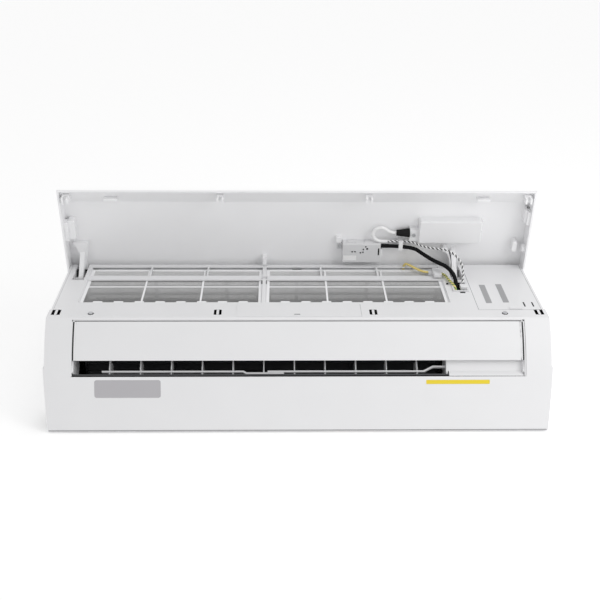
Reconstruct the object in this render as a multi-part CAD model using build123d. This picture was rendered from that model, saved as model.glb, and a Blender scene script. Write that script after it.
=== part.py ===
from build123d import *
from math import atan2, cos, degrees, hypot, radians, sin
import os

# A wall-mounted indoor unit of a split air conditioner, as it hangs on its wall plate.
# Millimetres: x runs to the right seen from the room, the wall is the plane y = 0 and the room
# lies at negative y. Heights are drawn up from the underside; the finished pieces are moved down
# so that the origin is the middle of the wall plate's screw pattern, on the wall.

# ---- casing
WIDTH = 805.0
HEIGHT = 285.0
FACE_DEPTH = 162.0
PANEL_DEPTH = 32.0
WALL = 2.5
CHIN_TOP_Z = 83.0
KINK_DEPTH = 90.0
KINK_Z = 32.0
CHIN_BULGE = 4.0
UNDERSIDE_BULGE = 2.0
SIDE_TAPER = 5.5
SIDE_STEP = 2.0
STEP_DEPTH = 97.0
RIM_NOTCH = 4.5
RIM_NOTCH_DEPTH = 108.0
RIM_NOTCH_Z = 112.0
FIT = 0.3
HALF = WIDTH / 2
DEPTH = FACE_DEPTH + PANEL_DEPTH
OCTAGON = cos(radians(22.5))
PIPING_CUT_DEPTH = 36.0
PIPING_CUT_Z = (12.0, 56.0)

# ---- face behind the panel
MACHINE_W = 152.5
WINDOW_X = (-HALF + 42.5, HALF - MACHINE_W)
WINDOW_Z = (137.0, 276.0)
CROSS_BAR_Z = (223.0, 239.0)
DIVIDER_X = -57.0
DIVIDER_W = 6.0
FACE_RIB_STEP = 98.5
FACE_RIB_W = 3.0
COVER_X = (HALF - 110.5, HALF - 8.5)
COVER_Z = 110.0
CABLE_SLOT_X = (HALF - 138.5, HALF - 117.5)
CABLE_SLOT_Z = (178.0, 208.0)
LATCH_X = (-HALF + 14.5, -130.0, 120.0, HALF - 14.5)
LATCH_Z = (93.0, 110.0)
LATCH_W = 11.2
LATCH_PRONG_X = 4.1
LATCH_PRONG_W = 3.0
LATCH_SLOT_W = 4.2
DISPLAY_PAD_X = 100.0
DISPLAY_PAD_Z = (85.0, 131.0)
DISPLAY_PAD_T = 0.8
FACE_SCREW_X = (-HALF + 70.5, HALF - 70.5)
FACE_SCREW_Z = 97.0
FACE_SCREW_R = 1.9
SILL_T = 2.3
RAIL_T = 2.0
RAIL_FLANGE = 9.0
GRILLE_COLUMNS = 6
GRILLE_ROWS = 8
GRILLE_MARGIN = 26.5
GRILLE_BAR = 6.0
GRILLE_BACK = 24.0
GRILLE_PITCH = 14.0
GRILLE_SLOT = 9.0

# ---- front panel and its hinge
HINGE_SET_BACK = 13.0
PIVOT_Z = 253.0
PANEL_OPEN = 82.0
PANEL_SIDE_GAP = 1.0
PANEL_T = 2.5
PANEL_RIM_T = 3.0
PANEL_RIM_DEPTH = 30.0
PANEL_TOP_RIM = 8.0
PANEL_LOW_Z = 88.0
PANEL_LOW_GAP = 6.0
BEVEL_Z = 122.0
BUMPER_INSET = 86.5
LEFT_HOOK_Z = (152.0, 189.0)
RIGHT_HOOK_Z = (130.0, 155.0)
RIGHT_BOSS_Z = 205.0
PIN_R = 3.0
RUN_CLEAR = 0.06
EYE_R = 8.0
ARM_W = 8.0
ARM_X = (-HALF + 27.0, HALF - 126.5)
ARM_ROOT_Z = (212.0, 268.0)
ARM_SLOT_W = 20.0
ARM_SLOT_Z = 223.0
ARM_SLOT_REACH = 27.0
CHEEK_T = 2.5
CHEEK_REACH = 24.0

# ---- filters
FILTER_GAP = 2.0
FILTER_DIVIDER_GAP = 1.0
FILTER_LEFT_X = (WINDOW_X[0] + FILTER_GAP, DIVIDER_X - DIVIDER_W / 2 - FILTER_DIVIDER_GAP)
FILTER_RIGHT_X = (DIVIDER_X + DIVIDER_W / 2 + FILTER_DIVIDER_GAP, WINDOW_X[1] - FILTER_GAP)
FILTER_TOP_Z = 269.0
FILTER_T = 3.0
FILTER_BORDER = 5.0
FILTER_BAR = 3.0
FILTER_BAYS = 3
FILTER_BAR_Z = 201.0
MESH_T = 0.6
FILTER_TAB_PITCH = 34.0
FILTER_TAB_W = 15.0
FILTER_TAB_H = 5.0
FILTER_TAB_OUT = 2.2

# ---- outlet, flap and duct
OUTLET_X = (-HALF + 43.5, HALF - 42.5)
OUTLET_TOP = 3.4
OUTLET_LIP = 6.0
FLAP_X = (OUTLET_X[0] + 7.0, OUTLET_X[1] - 7.0)
FLAP_SPAN = (6.6, 69.0)
FLAP_T = 2.6
FLAP_RIB = 3.5
FLAP_PIVOT = (16.0, 6.0)
FLAP_LUG_R = 5.0
FLAP_LUG_T = 2.5
DUCT_CHEEK_X = (FLAP_X[0] - 3.0, FLAP_X[1] + 2.0)
DUCT_RIGHT_X = HALF - 168.5
FILLER_DEPTH = 8.0
LIP_POINT = (-86.0, 35.5)
OUTLET_SLOPE = 37.0
VANE_FLOOR = 46.0
SCROLL_R = 83.5
SCROLL_TOP = 16.0
GUTTER_RISE = 10.0
END_WALL_X = (DUCT_CHEEK_X[0] - 3.0, DUCT_RIGHT_X + 12.5)

# ---- fan
FAN_CENTRE = (-72.0, 128.0)
FAN_R = 44.0
FAN_BLADE_R = 34.0
FAN_X = (END_WALL_X[0] + 12.0, DUCT_RIGHT_X - 4.0)
FAN_BLADES = 20
FAN_BLADE_T = 1.2
FAN_LEAN = 10.0
FAN_SECTIONS = 4
FAN_RING_T = 2.0
SHAFT_R = 4.0
BEARING_R = 12.0
MOTOR_X = (DUCT_RIGHT_X + 22.0, DUCT_RIGHT_X + 84.0)
CLAMP_FOOT = 5.0
MOTOR_R = 38.0
SHAFT_IN_MOTOR = 14.0

# ---- vanes and link
VANE_COUNT = 11
VANE_ENDS = (DUCT_CHEEK_X[0] + 55.0, DUCT_RIGHT_X - 46.0)
VANE_PITCH = (VANE_ENDS[1] - VANE_ENDS[0]) / (VANE_COUNT - 1)
VANE_X = tuple(VANE_ENDS[0] + VANE_PITCH * number for number in range(VANE_COUNT))
VANE_PIVOT = 20.0
VANE_PIN = 6.0
VANE_T = 1.6
VANE_PIVOT_R = 2.0
VANE_PIN_R = 1.2
LINK_CLEAR = 0.25
LINK_Q = (4.6, 7.4)
LINK_DIP_Q = (1.6, 4.4)
LINK_W = 5.0
LINK_SPLICE = (VANE_X[5] + 6.0, VANE_X[5] + 32.0)
LINK_LEFT_END = VANE_X[0] - 12.0
LINK_DIP_X = VANE_X[5] - 28.0
LINK_RISE_X = (DUCT_RIGHT_X - 35.0, DUCT_RIGHT_X - 20.0)
LINK_RISE = 8.0
CRANK_X = DUCT_RIGHT_X + 20.0
CRANK_Q = (17.0, 19.5)
STEPPER_R = 14.0

# ---- coil
COIL_X = (END_WALL_X[0] + 20.0, DUCT_RIGHT_X - 2.0)
COIL_T = 24.0
COIL_CORE = 14.0
FIN_PITCH = 38.0
FIN_T = 0.8
END_PLATE_T = 2.0
END_PLATE_OVER = 1.0
COIL_LOWER = ((-134.0, 99.0), (-134.0, 175.0))
COIL_UPPER = ((-134.0, 183.5), (-84.0, 258.0))
COIL_REAR = ((-20.0, 170.0), (-58.0, 258.0))
TUBE_R = 3.5
HAIRPIN_PITCH = 20.0
HAIRPIN_REACH = 11.0

# ---- drain pan
PAN_FLOOR_Z = 93.0
PAN_FRONT = 150.0
PAN_LIP_Z = 108.0
PAN_NOSE_Y = -120.5

# ---- back: wall plate, chassis, pipes
PLATE_T = 1.5
PLATE_HALF = 240.0
PLATE_Z = (70.0, 270.0)
PLATE_MID_Z = 170.0
PLATE_WINDOW = (76.0, 90.0)
PLATE_WINDOW_STEP = 100.0
SCREW_SPACING = (400.0, 120.0)
SCREW_HOLE_R = 2.75
HOOK_X = (-150.0, 150.0)
HOOK_W = 20.0
HOOK_Z = 262.0
CHANNEL_TOP_Z = 57.5
CHANNEL_DEPTH = 46.0
GAS_R = 4.76
LIQUID_R = 3.175
GAS_Z = 22.0
LIQUID_Z = 42.0
GAS_DEPTH = 24.0
LIQUID_DEPTH = 14.0
GAS_X = END_WALL_X[1] + 15.5
LIQUID_X = END_WALL_X[1] + 31.5
PIPE_END_X = 70.0
PIPE_BEND = 14.0
PIPE_CLAMP_X = (PIPE_END_X + 100.0, PIPE_END_X + 116.0)
GAS_UNION_R = 7.9375
LIQUID_UNION_R = 5.556
UNION_HEX = 8.0
UNION_SPIGOT = 13.0

# ---- electrics
BOX_X = (COVER_X[0] + 4.0, COVER_X[1] - 4.0)
BOX_DEPTH = 116.0
BOX_Z = (118.0, 272.0)
BOX_WALL = 2.0
BOARD_PARTS = ((16, 132, 16, 18), (42, 132, 20, 14), (70, 130, 16, 20), (24, 82, 26, 22),
               (64, 82, 22, 26), (44, 50, 30, 10))
DISPLAY_X = (HALF - 322.5, HALF - 256.5)
DISPLAY_Z = (198.0, 236.5)
DISPLAY_D = 15.0
DISPLAY_HOLES = ((16.5, 16), (21.5, 16), (31, 18), (35.5, 17), (36, 11), (42.5, 10), (40, 6))
DISPLAY_EAR_Z = 11.0
MODULE_X = (HALF - 192.0, HALF - 83.5)
MODULE_Z = (152.0, 195.5)
MODULE_D = 18.0
TIE_X = (HALF - 225.0, HALF - 218.0)
SLEEVE_R = 3.5
TWISTED_R = 2.0
LEAD_R = 2.4
EARTH_R = 1.25
EARTH_CLIP_W = 13.0
LEAD_CLEAR = 0.15

# ---- worked out from the sizes above
FACE_Y = -FACE_DEPTH
FACE_BACK_Y = FACE_Y + WALL
KINK = (-KINK_DEPTH, KINK_Z)
CHIN_TOP = (FACE_Y, CHIN_TOP_Z)
PIVOT_Y = FACE_Y + HINGE_SET_BACK
PANEL_Y = -DEPTH
PANEL_LOW_Y = FACE_Y - PANEL_LOW_GAP
PANEL_HALF = HALF - PANEL_SIDE_GAP
FACE_RIB_X = tuple(DIVIDER_X + FACE_RIB_STEP * n for n in (-2, -1, 1, 2))
PANEL_IN_Y = PANEL_Y + PANEL_T
FILTER_Y = (FACE_BACK_Y + FIT, FACE_BACK_Y + FIT + FILTER_T)
RAIL_Y = FILTER_Y[1] + FIT
FILTER_LOW_Z = WINDOW_Z[0] + FIT
CHASSIS_Y = -PLATE_T - FIT
BACK_Y = CHASSIS_Y - WALL
FAR = 2 * WIDTH


def block(x, y, z):
    """Box between pairs of limits along x, y and z."""
    limits = [sorted(pair) for pair in (x, y, z)]
    middle = [(low + high) / 2 for low, high in limits]
    return Pos(*middle) * Box(*[high - low for low, high in limits])


def extruded(face, x):
    """Solid with a (y, z) face, from one x limit to the other."""
    return extrude(Plane.YZ.offset(x[0]) * face, amount=x[1] - x[0], dir=(1, 0, 0))


def prism(corners, x):
    """Solid with (y, z) corners between two x limits."""
    return extruded(Polygon(*corners, align=None), x)


def rod(centre, radius, x):
    """Round bar along x about a (y, z) centre."""
    return extruded(Pos(*centre) * Circle(radius), x)


def plate(start, end, thick, x):
    """Flat wall from one (y, z) point to another, thickened to its left."""
    dy, dz = end[0] - start[0], end[1] - start[1]
    length = hypot(dy, dz)
    side = (-dz / length * thick, dy / length * thick)
    corners = [start, end, (end[0] + side[0], end[1] + side[1])]
    return prism(corners + [(start[0] + side[0], start[1] + side[1])], x)


def polar(centre, radius, angle):
    """Point at an angle in degrees round a (y, z) centre."""
    turn = radians(angle)
    return (centre[0] + radius * cos(turn), centre[1] + radius * sin(turn))


def octagon(radius):
    """Eight-sided face that fits a circle of this radius."""
    return RegularPolygon(radius, 8)


def stud(x, y, middle, radius, tall):
    """Upright eight-sided stud about a middle height."""
    return Pos(x, y, middle - tall / 2) * extrude(octagon(radius), amount=tall, dir=(0, 0, 1))


def facing_stud(x, middle, z, radius, deep):
    """Eight-sided stud that points into the room, about a middle depth."""
    return Pos(x, middle, z) * Rot(90, 0, 0) * stud(0, 0, 0, radius, deep)


def eased(corners, reach):
    """Route through the corners, each eased by a short curve that starts and ends reach away."""
    spots = [Vector(*corner) for corner in corners]
    points = [spots[0]]
    for before, corner, after in zip(spots, spots[1:], spots[2:]):
        cut = min(reach, 0.45 * (corner - before).length, 0.45 * (after - corner).length)
        start = corner + (before - corner).normalized() * cut
        end = corner + (after - corner).normalized() * cut
        points += [start, (start + corner * 2 + end) / 4, end]
    return points + [spots[-1]]


def bar(points, radius, sides):
    """Bar of a flat-sided section through points in space."""
    runs = [(b - a).normalized() for a, b in zip(points, points[1:])]
    heads = [runs[0], *[(a + b).normalized() for a, b in zip(runs, runs[1:])], runs[-1]]
    across = heads[0].cross(Vector(0.3, 0.5, 0.8))
    sections = []
    for point, head in zip(points, heads):
        across = (across - head * across.dot(head)).normalized()
        sections.append(Plane(origin=point, x_dir=across, z_dir=head) * RegularPolygon(radius, sides))
    return loft(sections, ruled=True)


def chord_circle(start, end, bulge):
    """Centre and radius of the arc from start to end that bulges to the chord's right."""
    dy, dz = end[0] - start[0], end[1] - start[1]
    chord = hypot(dy, dz)
    radius = (chord * chord / 4 + bulge * bulge) / (2 * bulge)
    left = (-dz / chord, dy / chord)
    reach = radius - bulge
    middle = ((start[0] + end[0]) / 2, (start[1] + end[1]) / 2)
    return (middle[0] + left[0] * reach, middle[1] + left[1] * reach), radius


CHIN_CENTRE, CHIN_R = chord_circle(CHIN_TOP, KINK, CHIN_BULGE)
CHIN_START = degrees(atan2(CHIN_TOP[1] - CHIN_CENTRE[1], CHIN_TOP[0] - CHIN_CENTRE[0]))
UNDER_CENTRE, UNDER_R = chord_circle(KINK, (0.0, 0.0), UNDERSIDE_BULGE)
UNDER_START = degrees(atan2(KINK[1] - UNDER_CENTRE[1], KINK[0] - UNDER_CENTRE[0]))


def chin(along, deep):
    """Point a distance along the chin from its top edge and so deep behind its surface."""
    return polar(CHIN_CENTRE, CHIN_R - deep, CHIN_START + degrees(along / CHIN_R))


def underside(along, deep):
    """Point a distance along the underside from the kink and so deep behind its surface."""
    return polar(UNDER_CENTRE, UNDER_R - deep, UNDER_START + degrees(along / UNDER_R))


FLAP_CENTRE = chin(*FLAP_PIVOT)
CHIN_CHORD = hypot(KINK[0] - CHIN_TOP[0], KINK[1] - CHIN_TOP[1])
CHIN_LENGTH = 2 * CHIN_R * atan2(CHIN_CHORD / 2, CHIN_R - CHIN_BULGE)


def duct(upstream, above):
    """Point so far upstream of the outlet lip and above the duct floor, as (y, z)."""
    slope = radians(OUTLET_SLOPE)
    y = LIP_POINT[0] + upstream * cos(slope) - above * sin(slope)
    return (y, LIP_POINT[1] + upstream * sin(slope) + above * cos(slope))


DUCT_FRAME = Plane(origin=(0, *LIP_POINT), x_dir=(1, 0, 0),
                   z_dir=(0, -sin(radians(OUTLET_SLOPE)), cos(radians(OUTLET_SLOPE)))).location
SCROLL_CENTRE = duct(VANE_FLOOR, SCROLL_R)
SCROLL_START = OUTLET_SLOPE - 90


# ---------------------------------------------------------------- casing
def casing_outline():
    """Side outline of the casing, run on behind the wall plane so that it offsets cleanly."""
    arc = ThreePointArc(CHIN_TOP, chin(CHIN_LENGTH / 2, 0), KINK)
    under = ThreePointArc(KINK, underside(hypot(*KINK) / 2, 0), (0, 0))
    walls = Polyline((0, 0), (WALL * 8, 0), (WALL * 8, HEIGHT), (FACE_Y, HEIGHT), CHIN_TOP)
    return make_face([arc, under, *walls.edges()])


def casing_solid(inset):
    """The casing's outer form, or its hollow when moved inwards by a wall."""
    outline = casing_outline()
    side = offset(outline, -inset, kind=Kind.INTERSECTION) if inset else outline
    body = extruded(side, (-HALF, HALF))
    back, widest, front = HALF - SIDE_TAPER - inset, HALF - inset, HALF - SIDE_STEP - inset
    right = [(back, WALL * 8), (back, 0), (widest, -STEP_DEPTH), (front, -STEP_DEPTH), (front, -DEPTH)]
    left = [(-x, y) for x, y in reversed(right)]
    plan = Polygon(*right, *left, align=None)
    body &= Pos(0, 0, -1) * extrude(plan, amount=HEIGHT + 2, dir=(0, 0, 1))
    for side in (-1, 1):
        inner = HALF - RIM_NOTCH - inset
        depth = (-DEPTH, -RIM_NOTCH_DEPTH - inset)
        body -= block((side * inner, side * HALF), depth, (RIM_NOTCH_Z - inset, FAR))
    return body


def face_hole(x, z):
    """Cutter for an opening through the face."""
    return block(x, (FACE_Y - WALL, FACE_BACK_Y + FIT), z)


def window_cutters():
    """The intake window: a wide lower opening on each side of the divider and six above."""
    divider = (DIVIDER_X - DIVIDER_W / 2, DIVIDER_X + DIVIDER_W / 2)
    cutters = [face_hole((WINDOW_X[0], divider[0]), (WINDOW_Z[0], CROSS_BAR_Z[0])),
               face_hole((divider[1], WINDOW_X[1]), (WINDOW_Z[0], CROSS_BAR_Z[0]))]
    bars = [(x, FACE_RIB_W / 2) for x in FACE_RIB_X] + [(DIVIDER_X, DIVIDER_W / 2)]
    left = WINDOW_X[0]
    for x, half in sorted(bars):
        cutters.append(face_hole((left, x - half), (CROSS_BAR_Z[1], WINDOW_Z[1])))
        left = x + half
    cutters.append(face_hole((left, WINDOW_X[1]), (CROSS_BAR_Z[1], WINDOW_Z[1])))
    return cutters


def small_face_cutters():
    """Slots for the panel's latches and arms, the leads and the screws, and the cover's hole."""
    cutters = [face_hole(COVER_X, (COVER_Z, FAR)), face_hole(CABLE_SLOT_X, CABLE_SLOT_Z)]
    cutters.append(block(COVER_X, (FACE_Y - WALL, FACE_Y + WALL * 4), (HEIGHT - WALL - FIT, FAR)))
    hook_z = (CROSS_BAR_Z[0] + 3, CROSS_BAR_Z[1] - 3)
    cutters.append(face_hole((DIVIDER_X - WALL * 2, DIVIDER_X + WALL * 2), hook_z))
    for x in LATCH_X:
        for side in (-LATCH_PRONG_X, LATCH_PRONG_X):
            half = LATCH_SLOT_W / 2
            cutters.append(face_hole((x + side - half, x + side + half), LATCH_Z))
    for x in ARM_X:
        half = ARM_SLOT_W / 2
        depth = (FACE_Y - WALL, FACE_Y + ARM_SLOT_REACH)
        cutters.append(block((x - half, x + half), depth, (ARM_SLOT_Z, FAR)))
    for x in FACE_SCREW_X:
        cutters.append(facing_stud(x, FACE_Y, FACE_SCREW_Z, (FACE_SCREW_R + FIT) / OCTAGON, WALL * 4))
    earth_x, earth_radius = HALF + EARTH_ROOM[0][0], (EARTH_R + FIT * 2) / OCTAGON
    cutters.append(facing_stud(earth_x, FACE_Y, EARTH_Z, earth_radius, WALL * 4))
    return cutters


def outlet_cutter():
    """Cutter for the outlet, from just under the face to just past the kink."""
    corners = [chin(OUTLET_TOP, -6), chin(OUTLET_TOP, 8), chin(50, 14), underside(OUTLET_LIP, 6),
               underside(OUTLET_LIP, -6), chin(50, -10)]
    return prism(corners, OUTLET_X)


def top_grille():
    """Cutters for the intake grille in the top: rows of slots along the unit."""
    cutters = []
    step = (WIDTH - 2 * GRILLE_MARGIN) / GRILLE_COLUMNS
    half = (step - GRILLE_BAR) / 2
    for column in range(GRILLE_COLUMNS):
        middle = (column - (GRILLE_COLUMNS - 1) / 2) * step
        for row in range(GRILLE_ROWS):
            y = -GRILLE_BACK - row * GRILLE_PITCH
            depth = (y - GRILLE_SLOT, y)
            cutters.append(block((middle - half, middle + half), depth, (HEIGHT - WALL * 2, FAR)))
    return cutters


def hinge_cheeks():
    """Pairs of ears behind the face that hold the panel's hinge pins."""
    ears = []
    hole = PIN_R + RUN_CLEAR
    for x in ARM_X:
        for side in (-1, 1):
            near = x + side * ARM_SLOT_W / 2
            far = near + side * CHEEK_T
            height = (PIVOT_Z - EYE_R * 2, HEIGHT - WALL)
            ear = block((near, far), (FACE_BACK_Y, FACE_Y + CHEEK_REACH), height)
            ears.append(ear - rod((PIVOT_Y, PIVOT_Z), hole, sorted((near - side, far + side))))
    return ears


def filter_rails():
    """Channels behind the face in which the two filters slide, and the sill they stand on."""
    depth = (FACE_BACK_Y, RAIL_Y + RAIL_T)
    height = (WINDOW_Z[0] - SILL_T, WINDOW_Z[1] + RAIL_T)
    flange = (RAIL_Y, RAIL_Y + RAIL_T)
    outer = ((FILTER_LEFT_X[0] - FIT, -1), (FILTER_RIGHT_X[1] + FIT, 1))
    rails = []
    for x, side in outer:
        rails.append(block((x, x + side * RAIL_T), depth, height))
        rails.append(block((x + side * RAIL_T, x - side * RAIL_FLANGE), flange, height))
    middle = (FILTER_LEFT_X[1] + FIT, FILTER_RIGHT_X[0] - FIT)
    rails.append(block(middle, depth, height))
    rails.append(block((middle[0] - RAIL_FLANGE, middle[1] + RAIL_FLANGE), flange, height))
    sill = (WINDOW_Z[0] - SILL_T, WINDOW_Z[0])
    rails.append(block((outer[0][0] - RAIL_T, outer[1][0] + RAIL_T), depth, sill))
    return rails


def front_frame():
    """One-piece casing: sides, top grille, face with the intake window, chin and underside."""
    frame = casing_solid(0) - casing_solid(WALL)
    frame &= block((-FAR, FAR), (-FAR, CHASSIS_Y), (-FAR, FAR))
    pad_x = (-DISPLAY_PAD_X, DISPLAY_PAD_X)
    frame += block(pad_x, (FACE_Y - DISPLAY_PAD_T, FACE_Y), DISPLAY_PAD_Z)
    frame -= window_cutters()
    frame += hinge_cheeks()
    frame += filter_rails()
    frame -= small_face_cutters()
    frame -= outlet_cutter()
    frame -= top_grille()
    frame -= block((-FAR, -HALF + SIDE_TAPER + WALL), (-PIPING_CUT_DEPTH, FAR), PIPING_CUT_Z)
    return frame


def wiring_cover():
    """Flat cover over the control box, with a lip over the top edge and a thumb tab."""
    x = (COVER_X[0] + FIT, COVER_X[1] - FIT)
    cover = block(x, (FACE_Y, FACE_BACK_Y), (COVER_Z + FIT, HEIGHT))
    cover += block(x, (FACE_Y, FACE_Y + WALL * 4 - FIT), (HEIGHT - WALL, HEIGHT))
    middle = (x[0] + x[1]) / 2 + WALL * 4
    tab = block((middle - 10, middle + 10), (FACE_Y - 2, FACE_Y), (COVER_Z + FIT, COVER_Z + 5))
    return cover + tab


# ---------------------------------------------------------------- front panel
def panel_outline(back):
    """Side outline of the closed panel, with its back edge at a chosen y."""
    return Polygon((PANEL_Y, HEIGHT), (PANEL_Y, BEVEL_Z), (PANEL_LOW_Y, PANEL_LOW_Z),
                   (back, PANEL_LOW_Z), (back, HEIGHT), align=None)


def opened(piece):
    """A piece drawn with the panel closed, moved with the panel to its open place."""
    swing = Pos(0, PIVOT_Y, PIVOT_Z) * Rot(-PANEL_OPEN, 0, 0) * Pos(0, -PIVOT_Y, -PIVOT_Z)
    return swing * piece


def panel_latches():
    """Blocks on the bevel, each with two prongs for the slots in the face."""
    latches = []
    half, prong = LATCH_W / 2, LATCH_PRONG_W / 2
    low, high = LATCH_Z
    for x in LATCH_X:
        latches.append(block((x - half, x + half), (PANEL_Y, PANEL_LOW_Y + 2), (low + 4, high - 1)))
        for side in (-LATCH_PRONG_X, LATCH_PRONG_X):
            width = (x + side - prong, x + side + prong)
            latches.append(block(width, (PANEL_LOW_Y, FACE_Y + 7), (low + 5, high - 3)))
    return latches


def panel_lugs():
    """Bumper tabs on the bevel, hooks on the side rims and the middle hook."""
    bumper = PANEL_HALF - BUMPER_INSET
    lugs = []
    for x in (-bumper, bumper):
        lugs.append(block((x - 11, x + 11), (PANEL_Y, PANEL_LOW_Y - 2), (LATCH_Z[1] - 4, LATCH_Z[1])))
    inner = PANEL_HALF - PANEL_RIM_T
    lugs.append(block((-inner, -inner + 6), (PANEL_Y + 12, PANEL_Y + 24), LEFT_HOOK_Z))
    lugs.append(block((inner - 5, inner), (PANEL_Y + 12, PANEL_Y + 26), RIGHT_HOOK_Z))
    lugs.append(rod((PANEL_Y + 18, RIGHT_BOSS_Z), 7, (inner - 6, inner)))
    hook_z = (CROSS_BAR_Z[0] + 5, CROSS_BAR_Z[1] + 2.5)
    lugs.append(block((DIVIDER_X - 3.5, DIVIDER_X + 3.5), (PANEL_IN_Y, PANEL_IN_Y + 14), hook_z))
    return lugs


def panel_arms():
    """Hinge arms: a web from the panel to an eye, with a pin out of each side."""
    arms = []
    for x in ARM_X:
        width = (x - ARM_W / 2, x + ARM_W / 2)
        web = [(PANEL_IN_Y, ARM_ROOT_Z[0]), (PIVOT_Y, PIVOT_Z - EYE_R), (PIVOT_Y, PIVOT_Z + EYE_R),
               (PANEL_IN_Y, ARM_ROOT_Z[1])]
        arms.append(prism(web, width) + rod((PIVOT_Y, PIVOT_Z), EYE_R, width))
        reach = ARM_SLOT_W / 2 + CHEEK_T
        arms.append(rod((PIVOT_Y, PIVOT_Z), PIN_R, (x - reach, x + reach)))
    return arms


def front_panel():
    """Shallow moulded panel with side rims, a bevelled lower edge, latches, hooks and arms."""
    outer = extruded(panel_outline(FACE_Y), (-PANEL_HALF, PANEL_HALF))
    deep = offset(panel_outline(-KINK_DEPTH), -PANEL_T, kind=Kind.INTERSECTION)
    inner = PANEL_HALF - PANEL_RIM_T
    shell = outer - extruded(deep, (-inner, inner))
    shell &= block((-FAR, FAR), (-FAR, PANEL_Y + PANEL_RIM_DEPTH), (-FAR, FAR))
    shell -= block((-inner, inner), (PANEL_Y + PANEL_TOP_RIM, 0), (HEIGHT - PANEL_T * 2, FAR))
    bound = extruded(panel_outline(-KINK_DEPTH), (-PANEL_HALF, PANEL_HALF))
    lugs = [lug & bound for lug in panel_latches() + panel_lugs()]
    return opened(shell + lugs + panel_arms())


def display_box():
    """Grey box for the indicator board, with vent holes, a slot and a screw ear."""
    depth = (PANEL_IN_Y, PANEL_IN_Y + DISPLAY_D)
    box = block(DISPLAY_X, depth, DISPLAY_Z)
    box = chamfer(box.edges().filter_by(Axis.X).group_by(Axis.Y)[-1], 1.5)
    holes = []
    left, right = DISPLAY_X
    low = DISPLAY_Z[0]
    cut = (depth[1] - 4, depth[1] + 1)
    for x, z in DISPLAY_HOLES:
        holes.append(facing_stud(left + x, depth[1], low + z, 1.7, 6))
    holes.append(block((right - 4.5, right - 2), cut, (low + 9, low + 23)))
    ear_z = low + DISPLAY_EAR_Z
    ear = block((left - 10, left), (PANEL_IN_Y, PANEL_IN_Y + 3), (ear_z - 6, ear_z + 6))
    ear -= Pos(left - 5, PANEL_IN_Y, ear_z) * Rot(90, 0, 0) * Cylinder(1.8, 20)
    return opened(box - holes + ear)


def pan_screw(x, y, z):
    """Small pan-head screw driven into the panel from its back, head against an ear."""
    return opened(facing_stud(x, y + 1, z, 3.2, 2) + facing_stud(x, y - 1.5, z, 1.5, 3))


def display_box_screw():
    return pan_screw(DISPLAY_X[0] - 5, PANEL_IN_Y + 3, DISPLAY_Z[0] + DISPLAY_EAR_Z)


def module_box():
    """Flat white box for the wireless module, with rounded edges, a socket and a screw ear."""
    depth = (PANEL_IN_Y, PANEL_IN_Y + MODULE_D)
    box = block(MODULE_X, depth, MODULE_Z)
    box = fillet(box.edges().filter_by(Axis.Y), 4)
    box = chamfer(box.faces().sort_by(Axis.Y)[-1].edges(), 1.5)
    left = MODULE_X[0]
    height = (PLUG_Z - 8, PLUG_Z + 14)
    socket = block((left - 15, left + 5), (PANEL_IN_Y, PANEL_IN_Y + 13), height)
    return opened(box + socket)


def module_box_screw():
    left = MODULE_X[0]
    return opened(facing_stud(left - 8, PANEL_IN_Y + 14, PLUG_Z + 2, 3.2, 2))


PLUG_X = (MODULE_X[0] - 38.0, MODULE_X[0] - 15.0)
PLUG_Z = MODULE_Z[0] + 27.0
PLUG_Y = PANEL_IN_Y + 8.5


def module_plug():
    """Tapered boot between the module's socket and its lead."""
    wide, narrow = [Plane.YZ.offset(x) * (Pos(PLUG_Y, PLUG_Z) * RegularPolygon(radius, 12))
                    for x, radius in ((PLUG_X[1], 8), (PLUG_X[0], 5))]
    return opened(loft([wide, narrow], ruled=True))


def lead_tie():
    """Saddle on the panel through which the sleeve and the twisted pair run."""
    tie = block(TIE_X, (PANEL_IN_Y, LEAD_Y + 5.5), (PAIR_Z - 3.5, SLEEVE_Z + 6))
    for z, radius in ((SLEEVE_Z, SLEEVE_R), (PAIR_Z, TWISTED_R)):
        tie -= rod((LEAD_Y, z), radius + LEAD_CLEAR, (TIE_X[0] - 1, TIE_X[1] + 1))
    return opened(tie)


# ---------------------------------------------------------------- leads
# Routes chosen by eye: x from the unit's right end, y from the face, heights from the underside.
# The first points of a lead that leaves the panel are drawn with the panel closed.
LEAD_Y = PANEL_IN_Y + 9.5
SLEEVE_Z = 205.0
PAIR_Z = 195.5
EARTH_Z = 279.8
SLEEVE_ON_PANEL = [(-256.3, -20, SLEEVE_Z), (-202.5, -20, SLEEVE_Z)]
SLEEVE_ROOM = [(-182.5, -31, 260), (-164.5, -25, 244), (-144.5, -22, 229), (-131.5, -10, 207),
               (-132.5, 10, 190)]
PAIR_ON_PANEL = [(-244.5, -20, PAIR_Z), (-202.5, -20, PAIR_Z)]
PAIR_ROOM = [(-184.5, -44, 264), (-166.5, -45, 254), (-145.5, -47, 245), (-129.5, -40, 234),
             (-119.5, -26, 222), (-120.5, -8, 208), (-123.5, 10, 198)]
JACKET_ON_PANEL = [(-230, -21, 179), (-241.5, -21, 179), (-253, -20, 168), (-264, -20, 169),
                   (-271.2, -20, 177.3), (-270.6, -20, 187), (-261.5, -20, PAIR_Z), (-244.5, -20, PAIR_Z)]
EARTH_ROOM = [(-214, 11, EARTH_Z), (-214, -6, EARTH_Z), (-203.5, -6.5, 268), (-192.5, -4, 257),
              (-180.5, -2.9, 247.3), (-155.5, -2.9, 246), (-146.5, -3.6, 234), (-144.5, -3.8, 219),
              (-140.5, -4, 203), (-135.5, -2, 189.5), (-132.5, 10, 181)]


def in_room(points):
    """Route points in the casing's frame."""
    return [(HALF + x, FACE_Y + y, z) for x, y, z in points]


def on_open_panel(points):
    """Route points drawn with the panel closed, where the open panel carries them."""
    return [open_point(point) for point in in_room(points)]


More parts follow.
